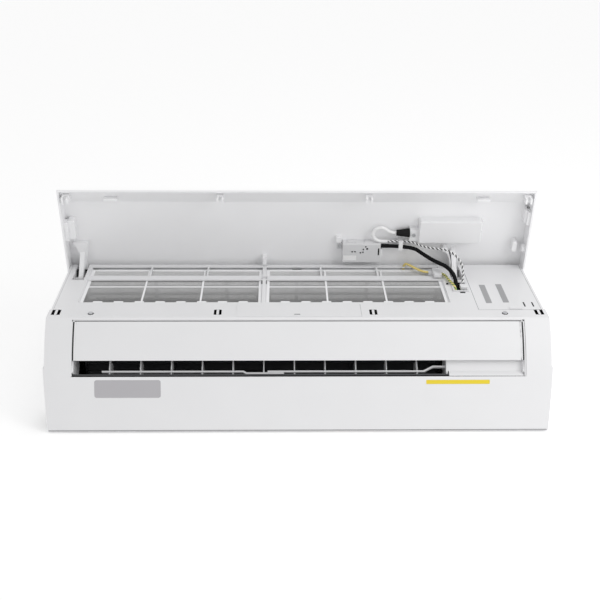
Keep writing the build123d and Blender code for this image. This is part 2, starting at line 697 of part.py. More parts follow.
def open_point(point):
    """Where a point drawn with the panel closed lies when the panel is open."""
    turn = radians(PANEL_OPEN)
    out, up = point[1] - PIVOT_Y, point[2] - PIVOT_Z
    y = PIVOT_Y + out * cos(turn) + up * sin(turn)
    return (point[0], y, PIVOT_Z - out * sin(turn) + up * cos(turn))


def lead(name, points, radius):
    """Round lead, drawn eight-sided: straight runs joined by arcs as large as the runs allow."""
    corners = [Vector(*point) for point in points]
    runs = [b - a for a, b in zip(corners, corners[1:])]
    radii = []
    for before, after in zip(runs, runs[1:]):
        half = radians(before.get_angle(after)) / 2
        radii.append(0.45 * min(before.length, after.length) * cos(half) / sin(half))
    path = FilletPolyline(*corners, radius=radii)
    pieces = []
    across = (path % 0).cross(Vector(0, 0, 1))
    for edge in path.order_edges():
        section = Plane(origin=edge @ 0, x_dir=across, z_dir=edge % 0) * octagon(radius)
        if edge.geom_type == GeomType.LINE:
            pieces.append(extrude(section, amount=edge.length, dir=edge % 0))
        else:
            axis = Axis(edge.arc_center, (edge % 0).cross(edge % 1))
            turn = degrees(edge.length / edge.radius)
            pieces.append(revolve(section, axis, revolution_arc=turn))
            across = across.rotate(Axis((0, 0, 0), axis.direction), turn)
    tube = pieces[0] + pieces[1:]
    ratio = tube.volume / (octagon(radius).area * path.length)
    print(f"{name}: length {path.length:.0f}, least radius {min(radii):.1f}, volume ratio {ratio:.4f}")
    return tube


def harness_sleeve():
    points = on_open_panel(SLEEVE_ON_PANEL) + in_room(SLEEVE_ROOM)
    return lead("harness_sleeve", points, SLEEVE_R)


def twisted_wire():
    points = on_open_panel(PAIR_ON_PANEL) + in_room(PAIR_ROOM)
    return lead("twisted_wire", points, TWISTED_R)


def module_lead():
    return lead("module_lead", on_open_panel(JACKET_ON_PANEL), LEAD_R)


def earth_wire():
    return lead("earth_wire", in_room(EARTH_ROOM), EARTH_R)


def earth_wire_clip():
    """Snap clip on the face that holds the earth wire."""
    start, end = [Vector(*point) for point in in_room(EARTH_ROOM)[4:6]]
    middle = (start + end) / 2
    half = EARTH_CLIP_W / 2
    width, height = (middle.X - half, middle.X + half), (middle.Z - half, middle.Z + half)
    bore = Plane(origin=middle, z_dir=end - start) * Cylinder(EARTH_R + LEAD_CLEAR, EARTH_CLIP_W * 2)
    return block(width, (FACE_Y - 6, FACE_Y), height) - bore


def cable_guide():
    """Grommet round the slot where the leads enter the casing."""
    x, z = CABLE_SLOT_X, CABLE_SLOT_Z
    rim = block((x[0] - 3, x[1] + 3), (FACE_Y - 2, FACE_Y), (z[0] - 3, z[1] + 3))
    return rim - block(x, (FACE_Y - 3, FACE_Y + 1), z)


# ---------------------------------------------------------------- filters
def filter_cells(x):
    """Openings of a filter between its border and bars, as pairs of x and z limits."""
    half = FILTER_BAR / 2
    start, end = x[0] + FILTER_BORDER - half, x[1] - FILTER_BORDER + half
    edges = [start + (end - start) * n / FILTER_BAYS for n in range(FILTER_BAYS + 1)]
    columns = [(a + half, b - half) for a, b in zip(edges, edges[1:])]
    low, high = FILTER_LOW_Z + FILTER_BORDER, FILTER_TOP_Z - FILTER_BORDER
    rows = [(low, FILTER_BAR_Z - half), (FILTER_BAR_Z + half, high)]
    return [(column, row) for column in columns for row in rows]


def filter_frame(x):
    """Moulded filter frame: a border, upright bars and a cross bar, with grip tabs below."""
    frame = block(x, FILTER_Y, (FILTER_LOW_Z, FILTER_TOP_Z))
    for column, row in filter_cells(x):
        frame -= block(column, (FILTER_Y[0] - 1, FILTER_Y[1] + 1), row)
    count = int((x[1] - x[0]) / FILTER_TAB_PITCH)
    first = (x[0] + x[1] - (count - 1) * FILTER_TAB_PITCH) / 2
    for number in range(count):
        middle = first + number * FILTER_TAB_PITCH
        width = (middle - FILTER_TAB_W / 2, middle + FILTER_TAB_W / 2)
        height = (FILTER_LOW_Z, FILTER_LOW_Z + FILTER_TAB_H)
        frame += block(width, (FILTER_Y[0] - FILTER_TAB_OUT, FILTER_Y[0]), height)
    return frame


def filter_mesh(x):
    """Panes of fine net, one in each opening of the frame."""
    middle = sum(FILTER_Y) / 2
    depth = (middle - MESH_T / 2, middle + MESH_T / 2)
    return Compound([block(column, depth, row) for column, row in filter_cells(x)])


# ---------------------------------------------------------------- outlet flap
def flap():
    """Curved air flap, flush with the chin, with an end lug and pin on each side."""
    start, end = FLAP_SPAN
    middle = (start + end) / 2
    outer = ThreePointArc(chin(start, 0), chin(middle, 0), chin(end, 0))
    inner = ThreePointArc(chin(end, FLAP_T), chin(middle, FLAP_T), chin(start, FLAP_T))
    sides = [Line(outer @ 1, inner @ 0), Line(inner @ 1, outer @ 0)]
    blade = extruded(make_face([outer, sides[0], inner, sides[1]]), FLAP_X)
    near, far = FLAP_T - 1, FLAP_T + FLAP_RIB
    rib = [chin(middle, near), chin(middle + 3, near), chin(middle + 3, far), chin(middle, far)]
    blade += prism(rib, (FLAP_X[0] + 8, FLAP_X[1] - 8))
    along, deep = FLAP_PIVOT
    low, high = along - FLAP_LUG_R, along + FLAP_LUG_R
    foot = [chin(low, 1), chin(low, deep), chin(high, deep), chin(high, 1)]
    for x, side in ((FLAP_X[0], 1), (FLAP_X[1], -1)):
        width = sorted((x, x + side * FLAP_LUG_T))
        blade += prism(foot, width) + rod(FLAP_CENTRE, FLAP_LUG_R, width)
    cheeks = (DUCT_CHEEK_X[0] - WALL, DUCT_CHEEK_X[1] + WALL)
    blade += rod(FLAP_CENTRE, PIN_R, (cheeks[0], FLAP_X[0] + 1))
    blade += rod(FLAP_CENTRE, PIN_R, (FLAP_X[1] - 1, cheeks[1] + 6))
    return blade


# ---------------------------------------------------------------- duct and drain pan
def duct_side(x, front):
    """Side wall of the outlet duct, behind the front edge given."""
    back = [duct(2, 0.4), duct(40, 0.4), duct(40, 10), duct(36, 29), (-108, 84), (-115.5, 97)]
    return prism([*front, *back, (PAN_NOSE_Y, PAN_FLOOR_Z + 2)], x)


def drain_pan():
    """Trough under the coil with the duct's tongue, side walls and the wall beside the duct."""
    left, right = DUCT_CHEEK_X
    x = (left - WALL, DUCT_RIGHT_X + WALL)
    floor = PAN_FLOOR_Z
    pan = block(x, (-PAN_FRONT, PAN_NOSE_Y + 1), (floor, floor + WALL))
    pan += block(x, (-PAN_FRONT, -PAN_FRONT + WALL), (floor, PAN_LIP_Z))
    tongue = [(-133, floor + 1), (-131, floor - 7), (-116.5, floor + 6), (-115.5, floor + 11),
              (-118, floor + 14), (PAN_NOSE_Y, floor + 11), (PAN_NOSE_Y, floor + 1)]
    pan += prism(tongue, x)
    outer_edge = [chin(5, 16), chin(5, 1), chin(CHIN_LENGTH - 2, 1)]
    inner_edge = [(-130, floor + 2), chin(32, FILLER_DEPTH), chin(CHIN_LENGTH - 2, FILLER_DEPTH)]
    pan += duct_side((left - WALL, left), outer_edge)
    inner_wall = duct_side((DUCT_RIGHT_X, DUCT_RIGHT_X + WALL), inner_edge)
    slot = block((DUCT_RIGHT_X - 1, DUCT_RIGHT_X + WALL + 1), (-1.5, 12.5),
                 (LINK_Q[0] + LINK_RISE - 1, LINK_Q[1] + LINK_RISE + 1))
    pan += inner_wall - DUCT_FRAME * slot
    pan += duct_side((right, right + WALL), outer_edge)
    beside = (DUCT_RIGHT_X, right + WALL)
    pan += plate(chin(CHIN_LENGTH - 2, FILLER_DEPTH), chin(32, FILLER_DEPTH), -WALL, beside)
    pan += plate(chin(32, FILLER_DEPTH), (-130, floor - 1), -WALL, beside)
    pan += block(beside, (-PAN_FRONT, -128), (floor, floor + WALL))
    hole = PIN_R + RUN_CLEAR
    pan -= rod(FLAP_CENTRE, hole, (left - WALL - 1, left + 1))
    pan -= rod(FLAP_CENTRE, hole, (right - 1, right + WALL + 1))
    return pan


# ---------------------------------------------------------------- chassis
def scroll():
    """Rear wall of the fan duct: a flat floor with the vane sockets, then an arc up the back."""
    x = END_WALL_X
    floor = plate(duct(VANE_FLOOR, 0), duct(0, 0), WALL, x)
    bends = (SCROLL_START, (SCROLL_START + SCROLL_TOP) / 2, SCROLL_TOP)
    inner = ThreePointArc(*[polar(SCROLL_CENTRE, SCROLL_R, a) for a in bends])
    outer = ThreePointArc(*[polar(SCROLL_CENTRE, SCROLL_R + WALL, a) for a in reversed(bends)])
    ends = [Line(inner @ 1, outer @ 0), Line(outer @ 1, inner @ 0)]
    wall = extruded(make_face([inner, ends[0], outer, ends[1]]), x)
    for place in VANE_X:
        radius = (VANE_PIVOT_R + RUN_CLEAR) / OCTAGON
        floor -= DUCT_FRAME * stud(place, VANE_PIVOT, -WALL / 2, radius, WALL * 2)
    return wall + floor


def end_wall(x, low):
    """Wall at one end of the fan, with a hole for its shaft; low runs it down to the outlet."""
    back = [polar(SCROLL_CENTRE, SCROLL_R + WALL / 2, a) for a in (-30, -15, 0, SCROLL_TOP)]
    top = [(-21, 174), (-48, 178), (-96, 178), (-114.5, 150)]
    front = [(-114.5, 102), (-60, 93)]
    if low:
        front = [(-114.5, 108), duct(30, 34), duct(6, 29), duct(1, 0.5), duct(45, -WALL / 2)]
    return prism(back + top + front, x) - rod(FAN_CENTRE, BEARING_R, (x[0] - 1, x[1] + 1))


def pipe_channel():
    """Channel along the lower back for the pipes, with webs up to the duct floor."""
    reach = HALF - SIDE_TAPER - WALL - FIT
    front = -CHANNEL_DEPTH
    roof = block((-reach, reach), (front, BACK_Y), (CHANNEL_TOP_Z, CHANNEL_TOP_Z + WALL))
    roof -= block((GAS_X - 10, LIQUID_X + 10), (-GAS_DEPTH - 10, FAR), (0, FAR))
    wall = block((-reach, END_WALL_X[1]), (front - WALL, front), (19, CHANNEL_TOP_Z + WALL + 1))
    webs = []
    between = (VANE_X[1] - VANE_X[0] - WALL) / 2
    for x in (END_WALL_X[0], *[place + between for place in VANE_X[::2]], END_WALL_X[1] - WALL):
        behind = [(front, 20), (front, CHANNEL_TOP_Z + 3)]
        ahead = [duct(44, -1), duct(3, -1.2), (-80, 33), (-60, 26)]
        webs.append(prism(behind + ahead, (x, x + WALL)))
    return [roof, wall, *webs]


def motor_cradle():
    """Two ribs with a half-round seat for the fan motor."""
    seat = MOTOR_R + FIT
    y, z = FAN_CENTRE
    ribs = []
    for x in (MOTOR_X[0] + 30, MOTOR_X[1] - 13):
        rib = block((x, x + WALL), (y - seat - 4, BACK_Y), (z - seat - 8, z))
        rib -= block((x - 1, x + WALL + 1), (y - seat - 5, y - seat + 14), (0, z - seat + 6))
        ribs.append(rib - rod(FAN_CENTRE, seat, (x - 1, x + WALL + 1)))
    return ribs


def rear_chassis():
    """Back plate, fan scroll, end walls, pipe channel, motor cradle and rear gutter."""
    reach = HALF - SIDE_TAPER - WALL - FIT
    top = HEIGHT - WALL - FIT
    back = block((-reach, reach), (BACK_Y, CHASSIS_Y), (CHANNEL_TOP_Z, top))
    for x in HOOK_X:
        half = HOOK_W / 2 + 2
        back -= block((x - half, x + half), (BACK_Y - 1, 0), (HOOK_Z - 4, HOOK_Z + 13))
    back -= block((GAS_X - 10, LIQUID_X + 10), (BACK_Y - 1, 0), (0, CHANNEL_TOP_Z + WALL))
    y, z = polar(SCROLL_CENTRE, SCROLL_R, SCROLL_TOP)
    gutter = block(END_WALL_X, (y, y + WALL), (z - 1, z + GUTTER_RISE))
    gutter += block(END_WALL_X, (y, BACK_Y), (z + GUTTER_RISE - WALL, z + GUTTER_RISE))
    left, right = END_WALL_X
    chassis = back + gutter + scroll()
    chassis += [end_wall((left - WALL, left), True), end_wall((right, right + WALL), False)]
    chassis += pipe_channel()
    chassis += motor_cradle()
    return chassis


# ---------------------------------------------------------------- fan and motor
def blade_face():
    """One forward-leaning blade of the fan, seen along the shaft."""
    inner, outer = FAN_BLADE_R, FAN_R - 1
    thick = degrees(FAN_BLADE_T / outer)
    corners = [(inner, 0), (outer, FAN_LEAN), (outer, FAN_LEAN + thick), (inner, thick)]
    return Polygon(*[polar((0, 0), radius, angle) for radius, angle in corners], align=None)


def fan_wheel():
    """Cross-flow wheel: sections of leaning blades between discs, with a shaft at each end."""
    start, end = FAN_X
    blades = [Rot(360 / FAN_BLADES * n, 0, 0) * extruded(blade_face(), FAN_X) for n in range(FAN_BLADES)]
    step = (end - start - FAN_RING_T) / FAN_SECTIONS
    rings = []
    for number in range(FAN_SECTIONS + 1):
        x = (start + number * step, start + number * step + FAN_RING_T)
        rings.append(rod((0, 0), FAN_R, x))
    shaft = rod((0, 0), SHAFT_R, (END_WALL_X[0] - 3, start + 1))
    shaft += rod((0, 0), SHAFT_R, (end - 1, MOTOR_X[0] + SHAFT_IN_MOTOR - 1))
    shaft += rod((0, 0), 9, (end - 12, end))
    return Pos(0, *FAN_CENTRE) * (rings[0] + rings[1:] + blades + shaft)


def fan_motor():
    """Round motor with a raised nose, bored for the fan shaft."""
    motor = rod(FAN_CENTRE, MOTOR_R, MOTOR_X) + rod(FAN_CENTRE, 14, (MOTOR_X[0] - 4, MOTOR_X[0]))
    return motor - rod(FAN_CENTRE, SHAFT_R + RUN_CLEAR, (MOTOR_X[0] - 5, MOTOR_X[0] + SHAFT_IN_MOTOR))


def motor_clamp():
    """Band over the fan motor, with feet on the cradle."""
    y, z = FAN_CENTRE
    seat = MOTOR_R + FIT
    x = (MOTOR_X[0] + 32, MOTOR_X[1] - 12)
    band = rod(FAN_CENTRE, seat + WALL, x) - rod(FAN_CENTRE, seat, (x[0] - 1, x[1] + 1))
    band &= block(x, (-FAR, FAR), (z + FIT, FAR))
    for side in (-1, 1):
        near, far = y + side * (seat + FIT), y + side * (seat + CLAMP_FOOT)
        band += block(x, (near, far), (z + FIT, z + FIT + WALL))
    return band


def fan_bearing():
    """Rubber-mounted sleeve in the left end wall."""
    x = (END_WALL_X[0] - 4, END_WALL_X[0] + 2)
    sleeve = rod(FAN_CENTRE, BEARING_R - 0.1, x)
    return sleeve - rod(FAN_CENTRE, SHAFT_R + RUN_CLEAR, (x[0] - 1, x[1] + 1))


# ---------------------------------------------------------------- coil
def slab(ends, thick, x, over=0.0):
    """Flat slab about a centre line between two (y, z) points, run on past both ends."""
    (y0, z0), (y1, z1) = ends
    length = hypot(y1 - y0, z1 - z0)
    dy, dz = (y1 - y0) / length, (z1 - z0) / length
    half = thick / 2
    start = (y0 - dy * over + dz * half, z0 - dz * over - dy * half)
    end = (y1 + dy * over + dz * half, z1 + dz * over - dy * half)
    return plate(start, end, thick, x)


def coil(ends):
    """Tube block of one part of the coil with its upright fins."""
    fins = [slab(ends, COIL_CORE, COIL_X)]
    count = int((COIL_X[1] - COIL_X[0] - FIN_T) / FIN_PITCH)
    for number in range(count + 1):
        x = COIL_X[0] + number * FIN_PITCH
        fins.append(slab(ends, COIL_T, (x, x + FIN_T)))
    return fins[0] + fins[1:]


def coil_end_plates():
    """Thin plates that carry the three parts of the coil, one at each end."""
    plates = []
    thick = COIL_T + END_PLATE_OVER * 2
    for x in ((COIL_X[0] - END_PLATE_T, COIL_X[0]), (COIL_X[1], COIL_X[1] + END_PLATE_T)):
        lower, upper, rear = [slab(ends, thick, x, 1.5) for ends in (COIL_LOWER, COIL_UPPER, COIL_REAR)]
        y, z = COIL_LOWER[0]
        foot = block(x, (y - 8, y + 8), (PAN_FLOOR_Z + WALL + FIT, z))
        plates.append(lower + upper + rear + foot)
    return Compound(plates)


def hairpin(ends, along, x, side):
    """U-bend joining two tubes, a distance along one part of the coil."""
    (y0, z0), (y1, z1) = ends
    length = hypot(y1 - y0, z1 - z0)
    dy, dz = (y1 - y0) / length, (z1 - z0) / length
    first = (y0 + dy * along, z0 + dz * along)
    second = (first[0] + dy * HAIRPIN_PITCH, first[1] + dz * HAIRPIN_PITCH)
    tip = x + side * HAIRPIN_REACH
    return bar(eased([(x, *first), (tip, *first), (tip, *second), (x, *second)], HAIRPIN_REACH), TUBE_R, 8)


def coil_hairpins():
    """The copper U-bends outside the end plates."""
    bends = []
    for ends in (COIL_LOWER, COIL_UPPER):
        for along in (7.0, 47.0):
            bends.append(hairpin(ends, along, COIL_X[0] - END_PLATE_T, -1))
            bends.append(hairpin(ends, along, COIL_X[1] + END_PLATE_T, 1))
    for along in (5.0, 45.0):
        bends.append(hairpin(COIL_REAR, along, COIL_X[0] - END_PLATE_T, -1))
    bends.append(hairpin(COIL_REAR, 60.0, COIL_X[1] + END_PLATE_T, 1))
    return Compound(bends)


# ---------------------------------------------------------------- vanes, link and crank
def vane(x):
    """Upright vane with a socket pin below and a link pin at its outer lower corner."""
    corners = [(10, 1.2), (36, 1.2), (36, 22), (30, 28), (3, 28), (3, 9), (10, 9)]
    blade = Pos(x - VANE_T / 2, 0, 0) * prism(corners, (0, VANE_T))
    blade += block((x - 3, x + 3), (VANE_PIVOT - 3, VANE_PIVOT + 3), (0.3, 1.2))
    blade += stud(x, VANE_PIVOT, -0.6, VANE_PIVOT_R, 3.0)
    blade += stud(x, VANE_PIN, 5.2, VANE_PIN_R, 8.2)
    return DUCT_FRAME * blade


def link_bar(corners, holes):
    """Flat link with (x, height) corners and a hole at each x given."""
    face = Plane.XZ * Polygon(*corners, align=None)
    link = Pos(0, VANE_PIN - LINK_W / 2, 0) * extrude(face, amount=LINK_W, dir=(0, 1, 0))
    for x in holes:
        link -= stud(x, VANE_PIN, 10, (VANE_PIN_R + LINK_CLEAR) / OCTAGON, 40)
    return link


def link_rod_left():
    """Left link: along the vanes, then down under the end of the right link."""
    low, high = LINK_Q
    dip_low, dip_high = LINK_DIP_Q
    end, dip = LINK_SPLICE[1], LINK_DIP_X
    below = [(LINK_LEFT_END, low), (dip - 5, low), (dip, dip_low), (end, dip_low)]
    above = [(end, dip_high), (dip + 1, dip_high), (dip - 4, high), (LINK_LEFT_END, high)]
    link = link_bar(below + above, [x for x in VANE_X if x < LINK_SPLICE[0]])
    splice = stud(sum(LINK_SPLICE) / 2, VANE_PIN, (dip_high + high) / 2, VANE_PIN_R, high - dip_high + 1)
    return DUCT_FRAME * (link + splice)


def link_rod_right():
    """Right link: along the vanes, then up and through the duct wall to the crank."""
    low, high = LINK_Q
    start = LINK_SPLICE[0]
    foot, top = LINK_RISE_X
    end = CRANK_X + 5
    below = [(start, low), (foot, low), (top, low + LINK_RISE), (end, low + LINK_RISE)]
    above = [(end, high + LINK_RISE), (top - 1, high + LINK_RISE), (foot - 1, high), (start, high)]
    holes = [sum(LINK_SPLICE) / 2, *[x for x in VANE_X if x > LINK_SPLICE[1]], CRANK_X]
    return DUCT_FRAME * link_bar(below + above, holes)


def vane_crank():
    """Crank on the vane motor's shaft, with a pin down through the link."""
    low, high = CRANK_Q
    middle, tall = (low + high) / 2, high - low
    arm = block((CRANK_X - 2.5, CRANK_X + 2.5), (VANE_PIN, VANE_PIVOT), (low, high))
    arm += stud(CRANK_X, VANE_PIN, middle, 2.5, tall)
    arm += stud(CRANK_X, VANE_PIVOT, middle, 5, tall)
    pin_low = LINK_Q[0] + LINK_RISE - 1
    arm += stud(CRANK_X, VANE_PIN, (pin_low + high) / 2, VANE_PIN_R, high - pin_low)
    arm += Pos(CRANK_X, VANE_PIVOT, high + 4) * Cylinder(VANE_PIVOT_R, 10)
    return DUCT_FRAME * arm


def vane_motor():
    """Small stepper over the crank, with ears against the duct wall."""
    low = CRANK_Q[1] + 1.5
    can = Pos(CRANK_X, VANE_PIVOT, low + 8) * Cylinder(STEPPER_R, 16)
    ears_x = (DUCT_RIGHT_X + WALL + FIT, CRANK_X + STEPPER_R + 3)
    can += block(ears_x, (VANE_PIVOT - 3.5, VANE_PIVOT + 3.5), (low, low + 1))
    bore = Pos(CRANK_X, VANE_PIVOT, low) * Cylinder(VANE_PIVOT_R + RUN_CLEAR, 26)
    return DUCT_FRAME * (can - bore)


def flap_motor():
    """Small stepper outside the duct's right wall, its shaft hole on the flap's axis."""
    x = DUCT_CHEEK_X[1] + WALL + FIT
    y, z = FLAP_CENTRE
    body = rod((y + 7.0, z + 6.2), 12, (x, x + 19))
    return body - rod(FLAP_CENTRE, PIN_R + RUN_CLEAR, (x - 1, x + 7))


# ---------------------------------------------------------------- electrics
def control_box():
    """Open tray behind the wiring cover for the board and terminals."""
    depth = (FACE_BACK_Y + FIT, -BOX_DEPTH)
    box = block(BOX_X, depth, BOX_Z)
    inner_x = (BOX_X[0] + BOX_WALL, BOX_X[1] - BOX_WALL)
    inner_z = (BOX_Z[0] + BOX_WALL, BOX_Z[1] - BOX_WALL)
    return box - block(inner_x, (depth[0] - 1, depth[1] - BOX_WALL), inner_z)


def main_board():
    """Circuit board on the tray's back with its larger components."""
    back = -BOX_DEPTH - BOX_WALL
    board = block((BOX_X[0] + 6, BOX_X[1] - 6), (back - 1.6, back), (BOX_Z[0] + 34, BOX_Z[1] - 6))
    for x, z, width, tall in BOARD_PARTS:
        left, low = BOX_X[0] + x - width / 2, BOX_Z[0] + z - tall / 2
        board += block((left, left + width), (back - 14, back - 1.6), (low, low + tall))
    return board


def terminal_block():
    """Row of cable terminals at the bottom of the tray."""
    back = -BOX_DEPTH - BOX_WALL
    x = ((BOX_X[0] + BOX_X[1]) / 2 - 30, (BOX_X[0] + BOX_X[1]) / 2 + 30)
    body = block(x, (back - 14, back), (BOX_Z[0] + 10, BOX_Z[0] + 28))
    for number in range(5):
        middle = x[0] + 6 + number * 12
        body -= block((middle - 4, middle + 4), (back - 15, back - 8), (BOX_Z[0] + 13, BOX_Z[0] + 29))
    return body


# ---------------------------------------------------------------- wall plate and pipes
def wall_plate():
    """Steel plate on the wall with four screw holes, windows and two hooks for the chassis."""
    board = block((-PLATE_HALF, PLATE_HALF), (-PLATE_T, 0), PLATE_Z)
    half, tall = PLATE_WINDOW[0] / 2, PLATE_WINDOW[1] / 2
    for x in (-PLATE_WINDOW_STEP, 0, PLATE_WINDOW_STEP):
        board -= block((x - half, x + half), (-PLATE_T - 1, 1), (PLATE_MID_Z - tall, PLATE_MID_Z + tall))
    for x in (-SCREW_SPACING[0] / 2, SCREW_SPACING[0] / 2):
        for z in (-SCREW_SPACING[1] / 2, SCREW_SPACING[1] / 2):
            board -= Pos(x, 0, PLATE_MID_Z + z) * Rot(90, 0, 0) * Cylinder(SCREW_HOLE_R, PLATE_T * 4)
    out = BACK_Y - FIT - PLATE_T
    for x in HOOK_X:
        width = (x - HOOK_W / 2, x + HOOK_W / 2)
        board += block(width, (out, 0), (HOOK_Z, HOOK_Z + PLATE_T))
        board += block(width, (out, out + PLATE_T), (HOOK_Z, HOOK_Z + 9))
    return board


def bent_pipe(radius, points):
    """Copper pipe along a route with eased bends, drawn twelve-sided."""
    return bar(eased(points, PIPE_BEND), radius, 12)


def coil_point(along):
    """Point of the rear part of the coil, a distance up from its foot."""
    (y0, z0), (y1, z1) = COIL_REAR
    length = hypot(y1 - y0, z1 - z0)
    return (y0 + (y1 - y0) * along / length, z0 + (z1 - z0) * along / length)


def gas_pipe():
    start = coil_point(22)
    route = [(COIL_X[1] + END_PLATE_T, *start), (GAS_X, *start)]
    route += [(GAS_X, -GAS_DEPTH, GAS_Z), (PIPE_END_X, -GAS_DEPTH, GAS_Z)]
    return bent_pipe(GAS_R, route)


def liquid_pipe():
    start = coil_point(42)
    route = [(COIL_X[1] + END_PLATE_T, *start), (LIQUID_X, *start)]
    route += [(LIQUID_X, -LIQUID_DEPTH, LIQUID_Z), (PIPE_END_X, -LIQUID_DEPTH, LIQUID_Z)]
    return bent_pipe(LIQUID_R, route)


def union(y, z, radius):
    """Brass flare union on a pipe's end: a hexagon and a spigot for the line from outside."""
    hexagon = RegularPolygon(radius + 2, 6, major_radius=False)
    body = extruded(Pos(y, z) * hexagon, (PIPE_END_X - UNION_HEX, PIPE_END_X))
    return body + rod((y, z), radius, (PIPE_END_X - UNION_HEX - UNION_SPIGOT, PIPE_END_X - UNION_HEX))


def pipe_clamp():
    """Plastic block under the channel's roof that holds both pipes."""
    x = PIPE_CLAMP_X
    y = (-CHANNEL_DEPTH + 12, -7)
    body = block(x, y, (GAS_Z - 8, CHANNEL_TOP_Z))
    for depth, z, radius in ((GAS_DEPTH, GAS_Z, GAS_R), (LIQUID_DEPTH, LIQUID_Z, LIQUID_R)):
        body -= rod((-depth, z), radius + LEAD_CLEAR, (x[0] - 1, x[1] + 1))
    return body


def frame_screws():
    """Screws through the face into the casing's bosses."""
    screws = []
    for x in FACE_SCREW_X:
        head = facing_stud(x, FACE_Y - 1, FACE_SCREW_Z, FACE_SCREW_R * 2, 2)
        screws.append(head + facing_stud(x, FACE_Y + 4, FACE_SCREW_Z, FACE_SCREW_R, 8))
    return Compound(screws)


def all_pieces():
    """Every piece by name, in its place on the wall."""
    pieces = {
        "rear_chassis": rear_chassis(), "front_frame": front_frame(), "wiring_cover": wiring_cover(),
        "drain_pan": drain_pan(), "wall_plate": wall_plate(), "frame_screws": frame_screws(),
        "coil_front_lower": coil(COIL_LOWER), "coil_front_upper": coil(COIL_UPPER),
        "coil_rear": coil(COIL_REAR),
        "coil_end_plates": coil_end_plates(), "coil_hairpins": coil_hairpins(),
        "fan_wheel": fan_wheel(), "fan_motor": fan_motor(), "motor_clamp": motor_clamp(),
        "fan_bearing": fan_bearing(), "control_box": control_box(), "main_board": main_board(),
        "terminal_block": terminal_block(),
        "flap": flap(), "flap_motor": flap_motor(), "vane_motor": vane_motor(), "vane_crank": vane_crank(),
        "link_rod_left": link_rod_left(), "link_rod_right": link_rod_right(),
        "gas_pipe": gas_pipe(), "liquid_pipe": liquid_pipe(), "pipe_clamp": pipe_clamp(),
        "gas_union": union(-GAS_DEPTH, GAS_Z, GAS_UNION_R),
        "liquid_union": union(-LIQUID_DEPTH, LIQUID_Z, LIQUID_UNION_R),
        "front_panel": front_panel(), "display_box": display_box(),
        "display_box_screw": display_box_screw(), "module_box": module_box(),
        "module_box_screw": module_box_screw(), "module_plug": module_plug(),
        "module_lead": module_lead(), "lead_tie": lead_tie(),
        "harness_sleeve": harness_sleeve(), "twisted_wire": twisted_wire(),
        "earth_wire": earth_wire(), "earth_wire_clip": earth_wire_clip(), "cable_guide": cable_guide(),
        "filter_left_frame": filter_frame(FILTER_LEFT_X),
        "filter_left_mesh": filter_mesh(FILTER_LEFT_X),
        "filter_right_frame": filter_frame(FILTER_RIGHT_X),
        "filter_right_mesh": filter_mesh(FILTER_RIGHT_X),
    }
    for number, x in enumerate(VANE_X, 1):
        pieces[f"vane_{number:02d}"] = vane(x)
    return pieces


os.makedirs("parts", exist_ok=True)
for name, piece in all_pieces().items():
    export_step(Pos(0, 0, -PLATE_MID_Z) * piece, f"parts/{name}.step")
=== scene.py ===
# The indoor unit of a split air conditioner, hung on its wall plate with the front panel swung up.
# Metres, in the frame of the solids: x to the right seen from the room, the wall is y = 0 and the
# room lies at negative y. Outlines and places that at() and on_panel() turn into points are given
# in millimetres, with heights from the underside.
from math import cos, floor, pi, radians, sin

import bmesh
import bpy
from mathutils import Matrix, Quaternion, Vector
from mathutils.bvhtree import BVHTree


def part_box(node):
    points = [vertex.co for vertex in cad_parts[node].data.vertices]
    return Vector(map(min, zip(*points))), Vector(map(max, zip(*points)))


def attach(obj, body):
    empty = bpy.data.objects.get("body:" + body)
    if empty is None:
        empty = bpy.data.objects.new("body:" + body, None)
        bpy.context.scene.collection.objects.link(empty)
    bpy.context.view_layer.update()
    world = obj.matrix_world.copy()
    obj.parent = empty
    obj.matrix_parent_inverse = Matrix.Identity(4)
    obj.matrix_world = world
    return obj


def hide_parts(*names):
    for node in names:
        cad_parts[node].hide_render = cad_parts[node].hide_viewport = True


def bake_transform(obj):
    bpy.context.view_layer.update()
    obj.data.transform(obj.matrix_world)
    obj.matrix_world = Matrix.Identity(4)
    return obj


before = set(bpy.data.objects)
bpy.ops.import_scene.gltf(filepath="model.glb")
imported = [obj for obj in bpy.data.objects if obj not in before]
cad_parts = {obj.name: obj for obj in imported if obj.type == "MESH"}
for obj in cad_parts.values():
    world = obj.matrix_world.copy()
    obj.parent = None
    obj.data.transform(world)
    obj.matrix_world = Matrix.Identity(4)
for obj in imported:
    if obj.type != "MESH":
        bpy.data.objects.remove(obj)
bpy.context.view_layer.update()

# ---------------------------------------------------------------- casing
# One moulding of white ABS makes the sides, the grille on top, the face behind the panel, the
# chin and the underside. Its skin is a fine satin with the faint mottle of moulded plastic.
UNDERSIDE = -0.170
CASING_WHITE = (0.80, 0.80, 0.81, 1)
MOTTLE_PER_METRE = 14
GRAIN_HEIGHT = 0.0001
GRAIN_ROUGHNESS = 0.08
PLASTIC_IOR = 1.49


def at(x, y, up):
    """Point in the frame from millimetres: right, out of the wall and up from the underside."""
    return Vector((x / 1000, y / 1000, UNDERSIDE + up / 1000))


def link(tree, start, output, end, entry):
    """Joins two sockets of a node tree."""
    tree.links.new(start.outputs[output], end.inputs[entry])


def new_group(name, inputs, outputs):
    """Empty shader group with named float, colour and vector sockets, and its two end nodes."""
    kinds = {"f": "NodeSocketFloat", "c": "NodeSocketColor", "v": "NodeSocketVector"}
    tree = bpy.data.node_groups.new(name, "ShaderNodeTree")
    for entries, way in ((inputs, "INPUT"), (outputs, "OUTPUT")):
        for label, kind in entries:
            tree.interface.new_socket(label, in_out=way, socket_type=kinds[kind])
    return tree, tree.nodes.new("NodeGroupInput"), tree.nodes.new("NodeGroupOutput")


